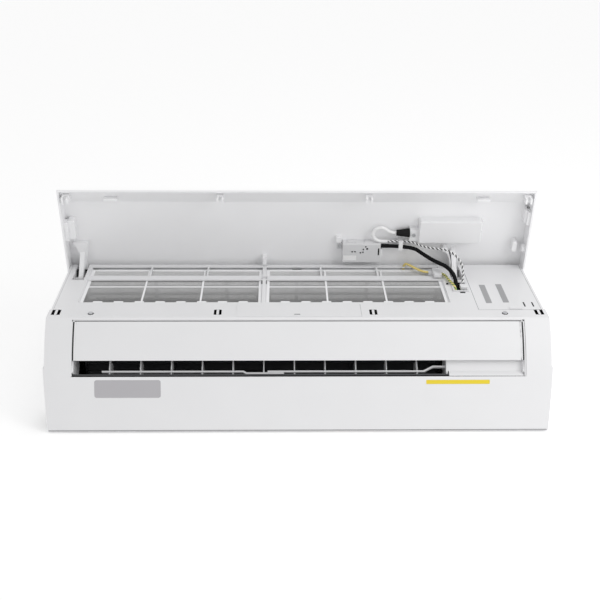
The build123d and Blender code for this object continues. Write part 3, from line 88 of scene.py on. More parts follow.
def moulded_skin_group():
    """Colour, roughness and normal of moulded plastic: a slow mottle under a fine pebbled grain."""
    tree, entry, end = new_group(
        "Moulded skin",
        [("Colour", "c"), ("Mottle", "f"), ("Roughness", "f"), ("Grain per metre", "f"),
         ("Grain depth", "f")],
        [("Colour", "c"), ("Roughness", "f"), ("Normal", "v")])
    place = tree.nodes.new("ShaderNodeTexCoord")
    slow = tree.nodes.new("ShaderNodeTexNoise")
    slow.inputs["Scale"].default_value = MOTTLE_PER_METRE
    slow.inputs["Detail"].default_value = 4
    link(tree, place, "Object", slow, "Vector")
    shade = tree.nodes.new("ShaderNodeMapRange")
    shade.inputs["To Min"].default_value = 1.0
    link(tree, slow, "Fac", shade, "Value")
    under = tree.nodes.new("ShaderNodeMath")
    under.operation = "SUBTRACT"
    under.inputs[0].default_value = 1.0
    link(tree, entry, "Mottle", under, 1)
    link(tree, under, "Value", shade, "To Max")
    tint = tree.nodes.new("ShaderNodeVectorMath")
    tint.operation = "SCALE"
    link(tree, entry, "Colour", tint, 0)
    link(tree, shade, "Result", tint, "Scale")
    link(tree, tint, "Vector", end, "Colour")
    grain = tree.nodes.new("ShaderNodeTexNoise")
    grain.inputs["Detail"].default_value = 2
    link(tree, place, "Object", grain, "Vector")
    link(tree, entry, "Grain per metre", grain, "Scale")
    bump = tree.nodes.new("ShaderNodeBump")
    bump.inputs["Distance"].default_value = GRAIN_HEIGHT
    link(tree, grain, "Fac", bump, "Height")
    link(tree, entry, "Grain depth", bump, "Strength")
    link(tree, bump, "Normal", end, "Normal")
    rough = tree.nodes.new("ShaderNodeMath")
    rough.operation = "MULTIPLY_ADD"
    rough.inputs[1].default_value = GRAIN_ROUGHNESS
    link(tree, grain, "Fac", rough, 0)
    link(tree, entry, "Roughness", rough, 2)
    link(tree, rough, "Value", end, "Roughness")
    return tree


MOULDED_SKIN = moulded_skin_group()


def shader_with_group(name, group, values):
    """New material whose shader takes each output of a group in the socket of the same name."""
    made = bpy.data.materials.new(name)
    made.use_nodes = True
    tree = made.node_tree
    shader = tree.nodes["Principled BSDF"]
    effect = tree.nodes.new("ShaderNodeGroup")
    effect.node_tree = group
    for label, value in values.items():
        effect.inputs[label].default_value = value
    for output in effect.outputs:
        socket = "Base Color" if output.name == "Colour" else output.name
        tree.links.new(output, shader.inputs[socket])
    return made, shader


def moulded(name, colour, roughness, mottle=0.04, grain=1500.0, depth=0.25, shine=0.5):
    """Moulded plastic; mottle and depth are how much the skin's tone and grain show."""
    made, shader = shader_with_group(name, MOULDED_SKIN, {
        "Colour": colour, "Mottle": mottle, "Roughness": roughness, "Grain per metre": grain,
        "Grain depth": depth})
    shader.inputs["IOR"].default_value = PLASTIC_IOR
    shader.inputs["Specular IOR Level"].default_value = shine
    return made


def finish(material, *nodes):
    """Gives solids their material."""
    for name in nodes:
        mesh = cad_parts[name].data
        mesh.materials.clear()
        mesh.materials.append(material)


casing_white = moulded("casing white", CASING_WHITE, 0.34)
finish(casing_white, "front_frame", "wiring_cover")
cover_grommet = moulded("grommet white", (0.72, 0.72, 0.73, 1), 0.5)
finish(cover_grommet, "cable_guide", "earth_wire_clip")

# ---------------------------------------------------------------- chassis, drain pan and duct
# The back of the unit is dark filled plastic that carries the fan's scroll and the pipe channel.
# The drain pan with the duct's sides is a lighter moulding that drops in from the front.
chassis_dark = moulded("chassis dark", (0.045, 0.046, 0.05, 1), 0.55, mottle=0.2)
finish(chassis_dark, "rear_chassis", "motor_clamp")
pan_grey = moulded("pan grey", (0.80, 0.80, 0.81, 1), 0.5)
finish(pan_grey, "drain_pan")
finish(moulded("fan grey", (0.035, 0.036, 0.04, 1), 0.5, mottle=0.2), "fan_wheel")

# ---------------------------------------------------------------- sheet steel, motors and pipes
# The wall plate, end plates and screws are zinc-plated steel with the faint streaks of rolled
# sheet. The motors are pressed steel cans. Pipes are bare copper with turned brass unions.
PATCHES_PER_METRE = 45
STREAK_ROUGHNESS = 0.2
STREAK_HEIGHT = 0.00005
STREAK_STRENGTH = 0.3
# Places of a mix node's colour sockets among its inputs and outputs.
MIX_FIRST, MIX_SECOND, MIX_RESULT = 6, 7, 2


def streaked_metal_group():
    """Colour, roughness and normal of rolled or drawn metal: long streaks and a few dull patches."""
    tree, entry, end = new_group(
        "Streaked metal",
        [("Colour", "c"), ("Dull colour", "c"), ("Dullness", "f"), ("Roughness", "f"),
         ("Streaks", "v")],
        [("Colour", "c"), ("Roughness", "f"), ("Normal", "v")])
    place = tree.nodes.new("ShaderNodeTexCoord")
    stretch = tree.nodes.new("ShaderNodeVectorMath")
    stretch.operation = "MULTIPLY"
    link(tree, place, "Object", stretch, 0)
    link(tree, entry, "Streaks", stretch, 1)
    streaks = tree.nodes.new("ShaderNodeTexNoise")
    streaks.inputs["Scale"].default_value = 1
    streaks.inputs["Detail"].default_value = 3
    link(tree, stretch, "Vector", streaks, "Vector")
    patches = tree.nodes.new("ShaderNodeTexNoise")
    patches.inputs["Scale"].default_value = PATCHES_PER_METRE
    patches.inputs["Detail"].default_value = 6
    link(tree, place, "Object", patches, "Vector")
    dull = tree.nodes.new("ShaderNodeMath")
    dull.operation = "MULTIPLY"
    link(tree, patches, "Fac", dull, 0)
    link(tree, entry, "Dullness", dull, 1)
    blend = tree.nodes.new("ShaderNodeMix")
    blend.data_type = "RGBA"
    link(tree, dull, "Value", blend, "Factor")
    link(tree, entry, "Colour", blend, MIX_FIRST)
    link(tree, entry, "Dull colour", blend, MIX_SECOND)
    link(tree, blend, MIX_RESULT, end, "Colour")
    rough = tree.nodes.new("ShaderNodeMath")
    rough.operation = "MULTIPLY_ADD"
    rough.inputs[1].default_value = STREAK_ROUGHNESS
    link(tree, streaks, "Fac", rough, 0)
    link(tree, entry, "Roughness", rough, 2)
    link(tree, rough, "Value", end, "Roughness")
    bump = tree.nodes.new("ShaderNodeBump")
    bump.inputs["Distance"].default_value = STREAK_HEIGHT
    bump.inputs["Strength"].default_value = STREAK_STRENGTH
    link(tree, streaks, "Fac", bump, "Height")
    link(tree, bump, "Normal", end, "Normal")
    return tree


STREAKED_METAL = streaked_metal_group()


def metal(name, colour, dull_colour, dullness, roughness, streaks=(60, 900, 900)):
    """Bare or plated metal; its streaks run along the axis that has the smallest number."""
    made, shader = shader_with_group(name, STREAKED_METAL, {
        "Colour": colour, "Dull colour": dull_colour, "Dullness": dullness, "Roughness": roughness,
        "Streaks": streaks})
    shader.inputs["Metallic"].default_value = 1.0
    return made


zinc = metal("zinc steel", (0.66, 0.67, 0.68, 1), (0.48, 0.49, 0.51, 1), 0.5, 0.26)
finish(zinc, "wall_plate", "coil_end_plates", "frame_screws", "display_box_screw", "module_box_screw")
motor_steel = metal("motor steel", (0.42, 0.43, 0.45, 1), (0.30, 0.31, 0.33, 1), 0.6, 0.32)
finish(motor_steel, "fan_motor", "flap_motor", "vane_motor")
finish(metal("copper", (0.78, 0.42, 0.26, 1), (0.45, 0.22, 0.13, 1), 0.7, 0.25),
       "gas_pipe", "liquid_pipe", "coil_hairpins")
finish(metal("brass", (0.78, 0.60, 0.30, 1), (0.50, 0.36, 0.16, 1), 0.5, 0.22),
       "gas_union", "liquid_union")
black_plastic = moulded("black plastic", (0.02, 0.02, 0.021, 1), 0.45, mottle=0.2)
finish(black_plastic, "pipe_clamp", "terminal_block")
rubber = moulded("rubber", (0.012, 0.012, 0.012, 1), 0.62, mottle=0.3, grain=2500.0, depth=0.5,
                 shine=0.15)
finish(rubber, "fan_bearing")

# ---------------------------------------------------------------- control box
# A moulded white tray at the right end of the coil holds the green lacquered circuit board and the
# black row of cable terminals.
inner_white = moulded("inner white", (0.70, 0.70, 0.71, 1), 0.5)
finish(inner_white, "control_box", "vane_crank")
board_green = moulded("board green", (0.03, 0.16, 0.07, 1), 0.3, mottle=0.35, grain=700.0)
finish(board_green, "main_board")

# ---------------------------------------------------------------- coil
# Three slabs of hundreds of close aluminium fins on copper tubes stand in front of, above and
# behind the fan. Each fin is a thin strip across its slab, a little proud of the tube core.
FIN_GAP = 0.0017
FIN_T = 0.00014
FIN_DEEP = 0.024
CORE_DEEP = 0.014
COIL_X = (-0.338, 0.232)
COIL_PARTS = {"coil_front_lower": (at(0, -134, 99), at(0, -134, 175)),
              "coil_front_upper": (at(0, -134, 183.5), at(0, -84, 258)),
              "coil_rear": (at(0, -20, 170), at(0, -58, 258))}


def mesh_piece(name, verts, faces, material):
    """New piece in the scene, with its mesh and its material."""
    mesh = bpy.data.meshes.new(name)
    mesh.from_pydata([tuple(v) for v in verts], [], faces)
    mesh.validate()
    mesh.materials.append(material)
    made = bpy.data.objects.new(name, mesh)
    bpy.context.scene.collection.objects.link(made)
    return made


BRICK_FACES = ((0, 3, 2, 1), (4, 5, 6, 7), (0, 1, 5, 4), (1, 2, 6, 5), (2, 3, 7, 6), (3, 0, 4, 7))


def add_brick(verts, faces, corner, along, across, deep):
    """Adds a box from one corner and its three sides."""
    first = len(verts)
    base = [corner, corner + along, corner + along + across, corner + across]
    verts += base + [v + deep for v in base]
    faces += [tuple(first + i for i in face) for face in BRICK_FACES]


def fin_block(name, low, high):
    """One slab of fins between two points of its centre line."""
    verts, faces = [], []
    up = high - low
    out = up.cross(Vector((1, 0, 0))).normalized()
    wide = Vector((COIL_X[1] - COIL_X[0], 0, 0))
    start = Vector((COIL_X[0], low.y, low.z))
    add_brick(verts, faces, start - out * CORE_DEEP / 2, wide, out * CORE_DEEP, up)
    count = int((wide.x - FIN_T) / FIN_GAP)
    for number in range(count + 1):
        corner = start + Vector((number * FIN_GAP, 0, 0)) - out * FIN_DEEP / 2
        add_brick(verts, faces, corner, Vector((FIN_T, 0, 0)), out * FIN_DEEP, up)
    return mesh_piece(name, verts, faces, fin_metal)


fin_metal = metal("fin aluminium", (0.72, 0.73, 0.75, 1), (0.52, 0.54, 0.56, 1), 0.4, 0.30,
                  streaks=(900, 60, 60))
for node, (low, high) in COIL_PARTS.items():
    fins = fin_block(node + "_fins", low, high)
    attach(fins, "casing")
    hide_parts(node)

# ---------------------------------------------------------------- filters
# Two moulded frames slide up behind the face. Each carries a fine grey woven net, drawn here as
# two layers of thin strands that run on inside the frame's bars.
STRAND_GAP = 0.0014
STRAND_T = 0.0006
filter_white = moulded("filter white", (0.92, 0.92, 0.93, 1), 0.42)
finish(filter_white, "filter_left_frame", "filter_right_frame")
# The net's dark foot and pale top are painted shade and painted light.
NET_TONES = (0.12, 0.90)
NET_MIDDLE = (0.62, 0.58)
NET_HEIGHTS = (-0.055, 0.088)


def net_material():
    """Woven net whose tone runs from one grey at its foot through a middle one to a paler top, painted
    shade below and painted light above.
    """
    made = moulded("net grey", (0.42, 0.42, 0.43, 1), 0.55, mottle=0.3)
    tree = made.node_tree
    effect = next(node for node in tree.nodes if node.type == "GROUP")
    place = tree.nodes.new("ShaderNodeTexCoord")
    apart = tree.nodes.new("ShaderNodeSeparateXYZ")
    link(tree, place, "Object", apart, "Vector")
    share = tree.nodes.new("ShaderNodeMapRange")
    share.inputs["From Min"].default_value = NET_HEIGHTS[0]
    share.inputs["From Max"].default_value = NET_HEIGHTS[1]
    link(tree, apart, "Z", share, "Value")
    tones = tree.nodes.new("ShaderNodeValToRGB")
    ramp = tones.color_ramp
    for stop, tone in zip(ramp.elements, NET_TONES):
        stop.color = (tone, tone, tone, 1)
    place_middle, tone = NET_MIDDLE
    ramp.elements.new(place_middle).color = (tone, tone, tone, 1)
    link(tree, share, "Result", tones, "Fac")
    link(tree, tones, "Color", effect, "Colour")
    return made


net_grey = net_material()


def net(name, node):
    """Woven net across the box of a filter's net."""
    low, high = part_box(node)
    middle = (low.y + high.y) / 2
    verts, faces = [], []
    size = high - low
    for number in range(int(size.x / STRAND_GAP) + 1):
        corner = Vector((low.x + number * STRAND_GAP, middle, low.z))
        add_brick(verts, faces, corner, Vector((STRAND_T, 0, 0)), Vector((0, -STRAND_T / 2, 0)),
                  Vector((0, 0, size.z)))
    for number in range(int(size.z / STRAND_GAP) + 1):
        corner = Vector((low.x, middle, low.z + number * STRAND_GAP))
        add_brick(verts, faces, corner, Vector((size.x, 0, 0)), Vector((0, STRAND_T / 2, 0)),
                  Vector((0, 0, STRAND_T)))
    return mesh_piece(name, verts, faces, net_grey)


for side in ("left", "right"):
    woven = net(f"filter_{side}_net", f"filter_{side}_mesh")
    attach(woven, f"filter_{side}")
    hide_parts(f"filter_{side}_mesh")

# ---------------------------------------------------------------- flap, vanes and link
# The flap and the upright vanes behind it are thin white mouldings. A two-piece link joins the
# vanes, by a pin at the lower corner of each.
flap_white = moulded("flap white", CASING_WHITE, 0.30)
finish(flap_white, "flap")
finish(inner_white, "link_rod_left", "link_rod_right",
       *[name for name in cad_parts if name.startswith(("vane_0", "vane_1"))])

# ---------------------------------------------------------------- front panel
# The panel is a shallow gloss moulding, here swung up on its hinge so that its satin back shows.
# What sits on it is drawn with the panel closed and turned up with it.
HINGE = at(0, -149, 253)
PANEL_OPEN = 82.0
PANEL_TURN = (Matrix.Translation(HINGE) @ Matrix.Rotation(radians(-PANEL_OPEN), 4, "X")
              @ Matrix.Translation(-HINGE))
PANEL_BACK_Y = -191.5
panel_white = moulded("panel white", (0.91, 0.91, 0.92, 1), 0.30)
finish(panel_white, "front_panel", "lead_tie")


def on_panel(x, y, up):
    """Point drawn with the panel closed, where the open panel carries it."""
    return PANEL_TURN @ at(x, y, up)


display_grey = moulded("display grey", (0.72, 0.72, 0.73, 1), 0.42)
finish(display_grey, "display_box")
# Painted shade: this black stands for the shade inside holes, slots, recesses and gaps.
painted_shade_black = moulded("painted shade black", (0.008, 0.008, 0.009, 1), 0.7, mottle=0.3, shine=0.1)
module_white = moulded("module white", (0.86, 0.86, 0.87, 1), 0.32)
finish(module_white, "module_box")
finish(rubber, "module_plug")

# A plate's front edge is rounded by this much, or by a share of its corner where that is less. A
# ring stands part of the way round, and no corner is sharper than the least one.
EDGE_ROUND = 0.5
ROUND_OF_CORNER = 0.8
BREAK_SHARE = 0.3
LEAST_CORNER = 0.05


def rounded_outline(x, up, corner, steps=5):
    """Corners of a rounded rectangle, anticlockwise as seen from the room."""
    points = []
    for side_x, side_up, start in ((1, 1, 0), (-1, 1, 90), (-1, -1, 180), (1, -1, 270)):
        centre_x = (x[1] - corner) if side_x > 0 else (x[0] + corner)
        centre_up = (up[1] - corner) if side_up > 0 else (up[0] + corner)
        for step in range(steps + 1):
            turn = radians(start + 90 * step / steps)
            points.append((centre_x + corner * cos(turn), centre_up + corner * sin(turn)))
    return points


def outward(made):
    """Turns a piece's faces outward."""
    turned = bmesh.new()
    turned.from_mesh(made.data)
    bmesh.ops.recalc_face_normals(turned, faces=turned.faces)
    turned.to_mesh(made.data)
    turned.free()
    return made


def ring_piece(name, place, rings, material):
    """Closed piece from rings, each an outline of (x, up) and its y, the one nearest the room first."""
    verts, faces = [], []
    for outline, y in rings:
        verts += [place(x, y, up) for x, up in outline]
    size = len(rings[0][0])
    for row in range(len(rings) - 1):
        for number in range(size):
            a, b = row * size + number, row * size + (number + 1) % size
            faces.append((a, b, b + size, a + size))
    faces.append(tuple(reversed(range(size))))
    last = (len(rings) - 1) * size
    faces.append(tuple(last + number for number in range(size)))
    return outward(mesh_piece(name, verts, faces, material))


def plate(name, place, x, y, up, corner, material):
    """Plate between two depths, the one that shows first, with that side's edge rounded off."""
    soft = min(EDGE_ROUND, abs(y[1] - y[0]) / 2, corner * ROUND_OF_CORNER)
    inward = soft if y[1] > y[0] else -soft
    broken = soft * BREAK_SHARE
    inner, middle = (
        rounded_outline((x[0] + inset, x[1] - inset), (up[0] + inset, up[1] - inset),
                        max(corner - inset, LEAST_CORNER)) for inset in (soft, broken))
    outer = rounded_outline(x, up, corner)
    made = ring_piece(name, place, [(inner, y[0]), (middle, y[0] + inward * BREAK_SHARE),
                                    (outer, y[0] + inward), (outer, y[1])], material)
    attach(made, "panel" if place is on_panel else "casing")
    return made


# ---------------------------------------------------------------- mouldings on the panel's back
# Moulded with the panel: the left arm's root, hooks and a post at the rim, a post on each side of
# the display's box and the right arm's curved guard. The box has ribs, and its holes and slot are
# black plates of painted shade. Two clips hold the module's end.
DISPLAY_RIGHT_X = 146
DISPLAY_HOLE_Y = (-176.4, -176.9)
DISPLAY_HOLES = ((96.5, 214, 1.2), (101.5, 214, 1.2), (111, 216, 1.2), (115.5, 215, 1.2),
                 (116, 209, 1.2), (120, 204, 1.2), (122.6, 208, 1.9))
HOLE_CORNER = 0.9
MODULE_END_X = 319
ARM_ROOT = [(-390, 200), (-364, 200), (-366.5, 212), (-370.5, 236), (-380.5, 236), (-384.5, 212)]
ARM_ROOT_Y = -183
PANEL_POSTS = {
    "rim_hook_left": ((-393.2, -382), -176, (152, 189), 3.0),
    "rim_hook_right": ((389.5, 394.4), -173, (129, 154), 2.0),
    "rim_post_right": ((377, 385), -177, (193, 214), 3.5),
    "display_post_left": ((68, 77), -184, (189, 200), 1.5),
    "display_post_right": ((DISPLAY_RIGHT_X + 0.3, DISPLAY_RIGHT_X + 4), -179, (210, 223), 1.0)}
arm_root = ring_piece("left_arm_root", on_panel, [(ARM_ROOT, ARM_ROOT_Y), (ARM_ROOT, PANEL_BACK_Y)],
                      panel_white)
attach(arm_root, "panel")
for name, (x, front_y, up, corner) in PANEL_POSTS.items():
    plate(name, on_panel, x, (front_y, PANEL_BACK_Y), up, corner, panel_white)
for number, x in enumerate(((89, 103), (118, 132))):
    plate(f"display_rib_{number}", on_panel, x, (-181, -188), (196.6, 198.2), 0.6, display_grey)
# Painted shade: the holes and the slot are black plates on the box's face.
for number, (x, up, half) in enumerate(DISPLAY_HOLES):
    plate(f"display_hole_{number}", on_panel, (x - half, x + half), DISPLAY_HOLE_Y,
          (up - half, up + half), half * HOLE_CORNER, painted_shade_black)
plate("display_slot", on_panel, (141.5, 144.0), DISPLAY_HOLE_Y, (207, 221), 0.4, painted_shade_black)
for number, up in enumerate(((156, 169), (176, 192))):
    plate(f"module_clip_{number}", on_panel, (MODULE_END_X + 0.4, MODULE_END_X + 3.4),
          (-179, PANEL_BACK_Y), up, 1.0, module_white)

GUARD_FROM = (256, 206)
GUARD_TO = (271.5, 243)
GUARD_T = 2.0
GUARD_Y = -168
GUARD_STEPS = 12
guard_front = []
for step in range(GUARD_STEPS + 1):
    turn = radians(90 * step / GUARD_STEPS)
    guard_front.append((GUARD_FROM[0] + (GUARD_TO[0] - GUARD_FROM[0]) * sin(turn),
                        GUARD_TO[1] - (GUARD_TO[1] - GUARD_FROM[1]) * cos(turn)))
guard_outline = guard_front + [(x - GUARD_T, up + GUARD_T) for x, up in reversed(guard_front)]
guard = ring_piece("right_arm_guard", on_panel,
                   [(guard_outline, PANEL_BACK_Y), (guard_outline, GUARD_Y)], panel_white)
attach(guard, "panel")

# ---------------------------------------------------------------- small parts of the face
# Black pockets of painted shade line the latch slots, with black edges of painted shade that widen
# the outer ones, and a black recess of painted shade surrounds each screw. The lead slot has a white
# stop, and its nicks and narrow slot are plates of painted shade, as are the wiring cover's two slots
# and the two dark sides of the filters' divider, the left one darker. Fine grooves mark the edges of
# the wiring cover, and a soft grey line of painted shade runs down the rim of the left side. The
# broad tab in the lower bar has a painted shadow line along its right edge and a thumb notch drawn
# in painted shade. A white cap covers the earth wire's clip.
FACE_Y = -162.0
LINE_Y = (FACE_Y - 0.06, FACE_Y + 0.3)
SLOT_Y = (FACE_Y - 0.1, FACE_Y + 0.3)
LATCH_X = (-388, -130, 120, 388)
LATCH_LINES_UP = {"low": (92.1, 93.0), "high": (110.0, 110.9)}
INNER_LATCHES_X = 200
PRONG_X = 4.1
SLOT_HALF = 2.1
SLOT_UP = (93.0, 110.0)
SLOT_PLAY = 0.02
POCKET_DEPTH = 8.5
POCKET_CORNER = 0.1
LINER_T = 0.12
LATCH_EDGE_OUT = 0.35
LATCH_EDGE_HALF = 0.4
LATCH_EDGE_UP = (92.5, 110.5)
# Grey for real grooves and joints, and also for lines of painted shade: the tab's notch, the gap to the
# wall and the right arm's slot.
groove_and_shade_grey = moulded("groove and shade grey", (0.30, 0.30, 0.31, 1), 0.6)
# Painted shade: a dark grey that fills gaps where only shade shows.
gap_shade_dark = moulded("gap shade dark", (0.06, 0.06, 0.062, 1), 0.7, shine=0.1)
# Soft grey for the cover's right edge, and for painted shade: the tab's shadow line and the line down
# the left side's rim.
groove_and_shade_soft = moulded("groove and shade soft", (0.50, 0.50, 0.51, 1), 0.6)


def pocket(name, x, up, y, depth):
    """Black cup of painted shade that lines a slot in the face and is open towards the room."""
    outer = rounded_outline(x, up, POCKET_CORNER, 1)
    inner = rounded_outline((x[0] + LINER_T, x[1] - LINER_T), (up[0] + LINER_T, up[1] - LINER_T),
                            LEAST_CORNER, 1)
    rings = [(inner, y + depth - LINER_T), (inner, y), (outer, y), (outer, y + depth)]
    made = ring_piece(name, at, rings, painted_shade_black)
    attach(made, "casing")


# Painted shade: black pockets line each latch slot, and black edges widen the outer ones.
for number, x in enumerate(LATCH_X):
    for end, up in LATCH_LINES_UP.items():
        plate(f"latch_line_{number}_{end}", at, (x - PRONG_X, x + PRONG_X), LINE_Y, up, 0.1,
              groove_and_shade_grey)
    for side, offset in (("left", -PRONG_X), ("right", PRONG_X)):
        slot_x = (x + offset - SLOT_HALF + SLOT_PLAY, x + offset + SLOT_HALF - SLOT_PLAY)
        slot_up = (SLOT_UP[0] + SLOT_PLAY, SLOT_UP[1] - SLOT_PLAY)
        pocket(f"latch_pocket_{number}_{side}", slot_x, slot_up, FACE_Y - SLOT_PLAY, POCKET_DEPTH)
        if abs(x) > INNER_LATCHES_X:
            edge_x = x + offset * (1 + (SLOT_HALF + LATCH_EDGE_OUT) / PRONG_X)
            plate(f"latch_edge_{number}_{side}", at,
                  (edge_x - LATCH_EDGE_HALF, edge_x + LATCH_EDGE_HALF), LINE_Y, LATCH_EDGE_UP, 0.1,
                  painted_shade_black)

SCREW_X = 332.0
SCREW_UP = 97.0
RECESS_HALF = 4.9
RECESS_Y = (FACE_Y - 0.08, FACE_Y + 0.3)
# Painted shade: a black ring round each screw stands for the shade in its recess.
for side, x in (("left", -SCREW_X), ("right", SCREW_X)):
    plate(f"screw_recess_{side}", at, (x - RECESS_HALF, x + RECESS_HALF), RECESS_Y,
          (SCREW_UP - RECESS_HALF, SCREW_UP + RECESS_HALF), 4.8, painted_shade_black)
plate("lead_stop", at, (274.5, 287), (FACE_Y - 5, FACE_Y), (183.5, 196.5), 1.5, casing_white)
# Painted shade: the lead slot, its nicks and the cover's slots are black plates.
plate("lead_slot", at, (272, 281), SLOT_Y, (171, 175.6), 0.6, painted_shade_black)
for number, x in enumerate(((253.5, 257), (272, 276.5))):
    plate(f"lead_nick_{number}", at, x, (FACE_Y - 2.1, FACE_Y), (203.6, 206.6), 0.5, painted_shade_black)
for number, x in enumerate(((369, 371.4), (383, 385.4))):
    plate(f"cover_slot_{number}", at, x, SLOT_Y, (121, 137), 0.6, painted_shade_black)
# Painted shade: dark strips at the two sides of the filters' divider, the left one darker.
for side, x, shade in (("left", (-61.7, -59.95), painted_shade_black),
                       ("right", (-54.05, -52.7), gap_shade_dark)):
    plate(f"divider_shade_{side}", at, x, (FACE_Y + 1.6, FACE_Y + 2.4), (211, 231), 0.3, shade)
plate("guide_cap", at, (235, 249), (-171, -164.8), (226, 252), 2, casing_white)
# Painted shadow: a soft grey line along the tab's right edge; the notch is a grey dash of painted
# shade.
plate("service_tab_shadow", at, (99.9, 101), (FACE_Y - 0.3, FACE_Y + 0.2), (86, 130), 0.4, groove_and_shade_soft)
plate("service_tab_notch", at, (-7.5, 2.2), (FACE_Y - 0.92, FACE_Y - 0.6), (91, 94), 0.6, groove_and_shade_grey)
# The line down the left side is painted shade along its rim; the others mark the cover's edges.
for name, x, up, shade in (("cover_groove_side", (291.5, 292.4), (109.4, 284), groove_and_shade_grey),
                           ("cover_groove_right", (393.9, 394.7), (110, 284), groove_and_shade_soft),
                           ("side_rim_shade_left", (-394.7, -393.9), (113, 284), groove_and_shade_soft),
                           ("cover_groove_low", (291.5, 394.3), (109.4, 110.2), groove_and_shade_grey)):
    plate(name, at, x, LINE_Y, up, 0.2, shade)

# ---------------------------------------------------------------- outlet frame
# Mouldings round the outlet: a sill closes the duct's solid right part down to the lower lip, thin
# side strips follow the flap's curve at its ends, and the flap's rolled upper edge turns behind a
# lip. Dark strips of painted shade fill the gaps at the flap's ends, and white shades stand behind
# the upper windows.
SILL = [(-88.6, 39.9), (-84.9, 30.6), (-83.8, 32.3), (-87.3, 42.0)]
SILL_X = (238, 357)
CASING_STRIP_X = (357.4, 359.2)
FLAP_STRIP_X = (351.8, 354.7)
SHADE_STRIP_X = (354.9, 357.3)
STRIP_DEPTH = (0.0, 1.6)
SHADE_DEPTH = (1.2, 1.8)
CASING_PROBE = (361.5, -157.4, -85.2)
FLAP_PROBE = (350.0, -157.2, -107.7)
STRIP_ROWS = 30
PROBE_UP = -330.0
UPWARD = Vector((0, 0, 1))
FLAP_PIN = (-146.44, 76.39)
ROLL_R = (10.1, 10.8)
ROLL_ANGLES = (170, 162, 154, 146, 138, 130)
ROLL_X = (-351.5, 351.5)
LIP = [(-159.7, 80.6), (-157.6, 80.6), (-157.6, 81.4), (-159.7, 81.4)]
LIP_X = (-357.0, 357.0)


def prism(name, x, profile, material):
    """Closed outline of (y, up) places, drawn out across the unit."""
    count = len(profile)
    verts = [at(across, y, up) for across in x for y, up in profile]
    faces = [tuple(range(count)), tuple(range(2 * count - 1, count - 1, -1))]
    faces += [(n, n + count, (n + 1) % count + count, (n + 1) % count) for n in range(count)]
    return outward(mesh_piece(name, verts, faces, material))


def side_strip(name, side, x, depth, material, tree, probe):
    """Strip at one end of the flap that follows the surface which a row of upward probes meets.

    The probe gives the place across at which they start, and their first and last y."""
    verts, faces = [], []
    probe_x, first, last = probe
    for row in range(STRIP_ROWS + 1):
        y = first + (last - first) * row / STRIP_ROWS
        hit, normal = tree.ray_cast(at(side * probe_x, y, PROBE_UP), UPWARD)[:2]
        normal = Vector((0, normal.y, normal.z)).normalized()
        for deep in depth:
            for across in x:
                place = hit - normal * deep / 1000
                verts.append(Vector((side * across / 1000, place.y, place.z)))
    for row in range(STRIP_ROWS):
        a, b = row * 4, row * 4 + 4
        for start, end in ((0, 1), (1, 3), (3, 2), (2, 0)):
            faces.append((a + start, a + end, b + end, b + start))
    last = STRIP_ROWS * 4
    faces += [(0, 2, 3, 1), (last, last + 1, last + 3, last + 2)]
    return outward(mesh_piece(name, verts, faces, material))


def roll_place(radius, angle):
    """Place on the flap's rolled edge, around its hinge pin."""
    return FLAP_PIN[0] + radius * cos(radians(angle)), FLAP_PIN[1] + radius * sin(radians(angle))


depsgraph = bpy.context.evaluated_depsgraph_get()
casing_tree = BVHTree.FromObject(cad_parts["front_frame"], depsgraph)
flap_tree = BVHTree.FromObject(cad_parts["flap"], depsgraph)
roll_outline = [roll_place(ROLL_R[1], angle) for angle in ROLL_ANGLES]
roll_outline += [roll_place(ROLL_R[0], angle) for angle in reversed(ROLL_ANGLES)]
for name, x, profile, material, slot, body in (
        ("duct_sill", SILL_X, SILL, pan_grey, "inner_white", "casing"),
        ("outlet_lip", LIP_X, LIP, casing_white, "casing_white", "casing"),
        ("flap_roll", ROLL_X, roll_outline, flap_white, "casing_white", "flap")):
    piece = prism(name, x, profile, material)
    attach(piece, body)
for end, side in (("left", -1), ("right", 1)):
    for name, x, depth, material, slot, body, tree, probe in (
            (f"outlet_strip_{end}", CASING_STRIP_X, STRIP_DEPTH, casing_white, "casing_white", "casing",
             casing_tree, CASING_PROBE),
            (f"outlet_shade_{end}", SHADE_STRIP_X, SHADE_DEPTH, gap_shade_dark, "rubber_black", "casing",
             flap_tree, FLAP_PROBE),
            (f"flap_end_{end}", FLAP_STRIP_X, STRIP_DEPTH, flap_white, "casing_white", "flap",
             flap_tree, FLAP_PROBE)):
        strip = side_strip(name, side, x, depth, material, tree, probe)
        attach(strip, body)
for number, x in enumerate(((-350, -8), (8, 232))):
    plate(f"window_shade_{number}", at, x, (-155.8, -155.0), (262, 281), 0.3, filter_white)

# ---------------------------------------------------------------- shades in the arm slots
# Strips of painted shade, black beside the left arm and grey beside the right, stand beside the
# hinge arms and at the lead slot inside the casing and close the view through to the top.
ARM_SHADE_OFFSETS = (-9.6, 4.6)
ARM_SHADE_WIDE = 5
for side, x, shade in (("left", -375.5, painted_shade_black), ("right", 276.0, groove_and_shade_grey)):
    for number, offset in enumerate(ARM_SHADE_OFFSETS):
        plate(f"arm_shade_{side}_{number}", at, (x + offset, x + offset + ARM_SHADE_WIDE), (-161, -137),
              (266, 267.5), 0.3, shade)
plate("lead_shade", at, (262, 287), (-159.3, -146), (212, 213.5), 0.3, painted_shade_black)

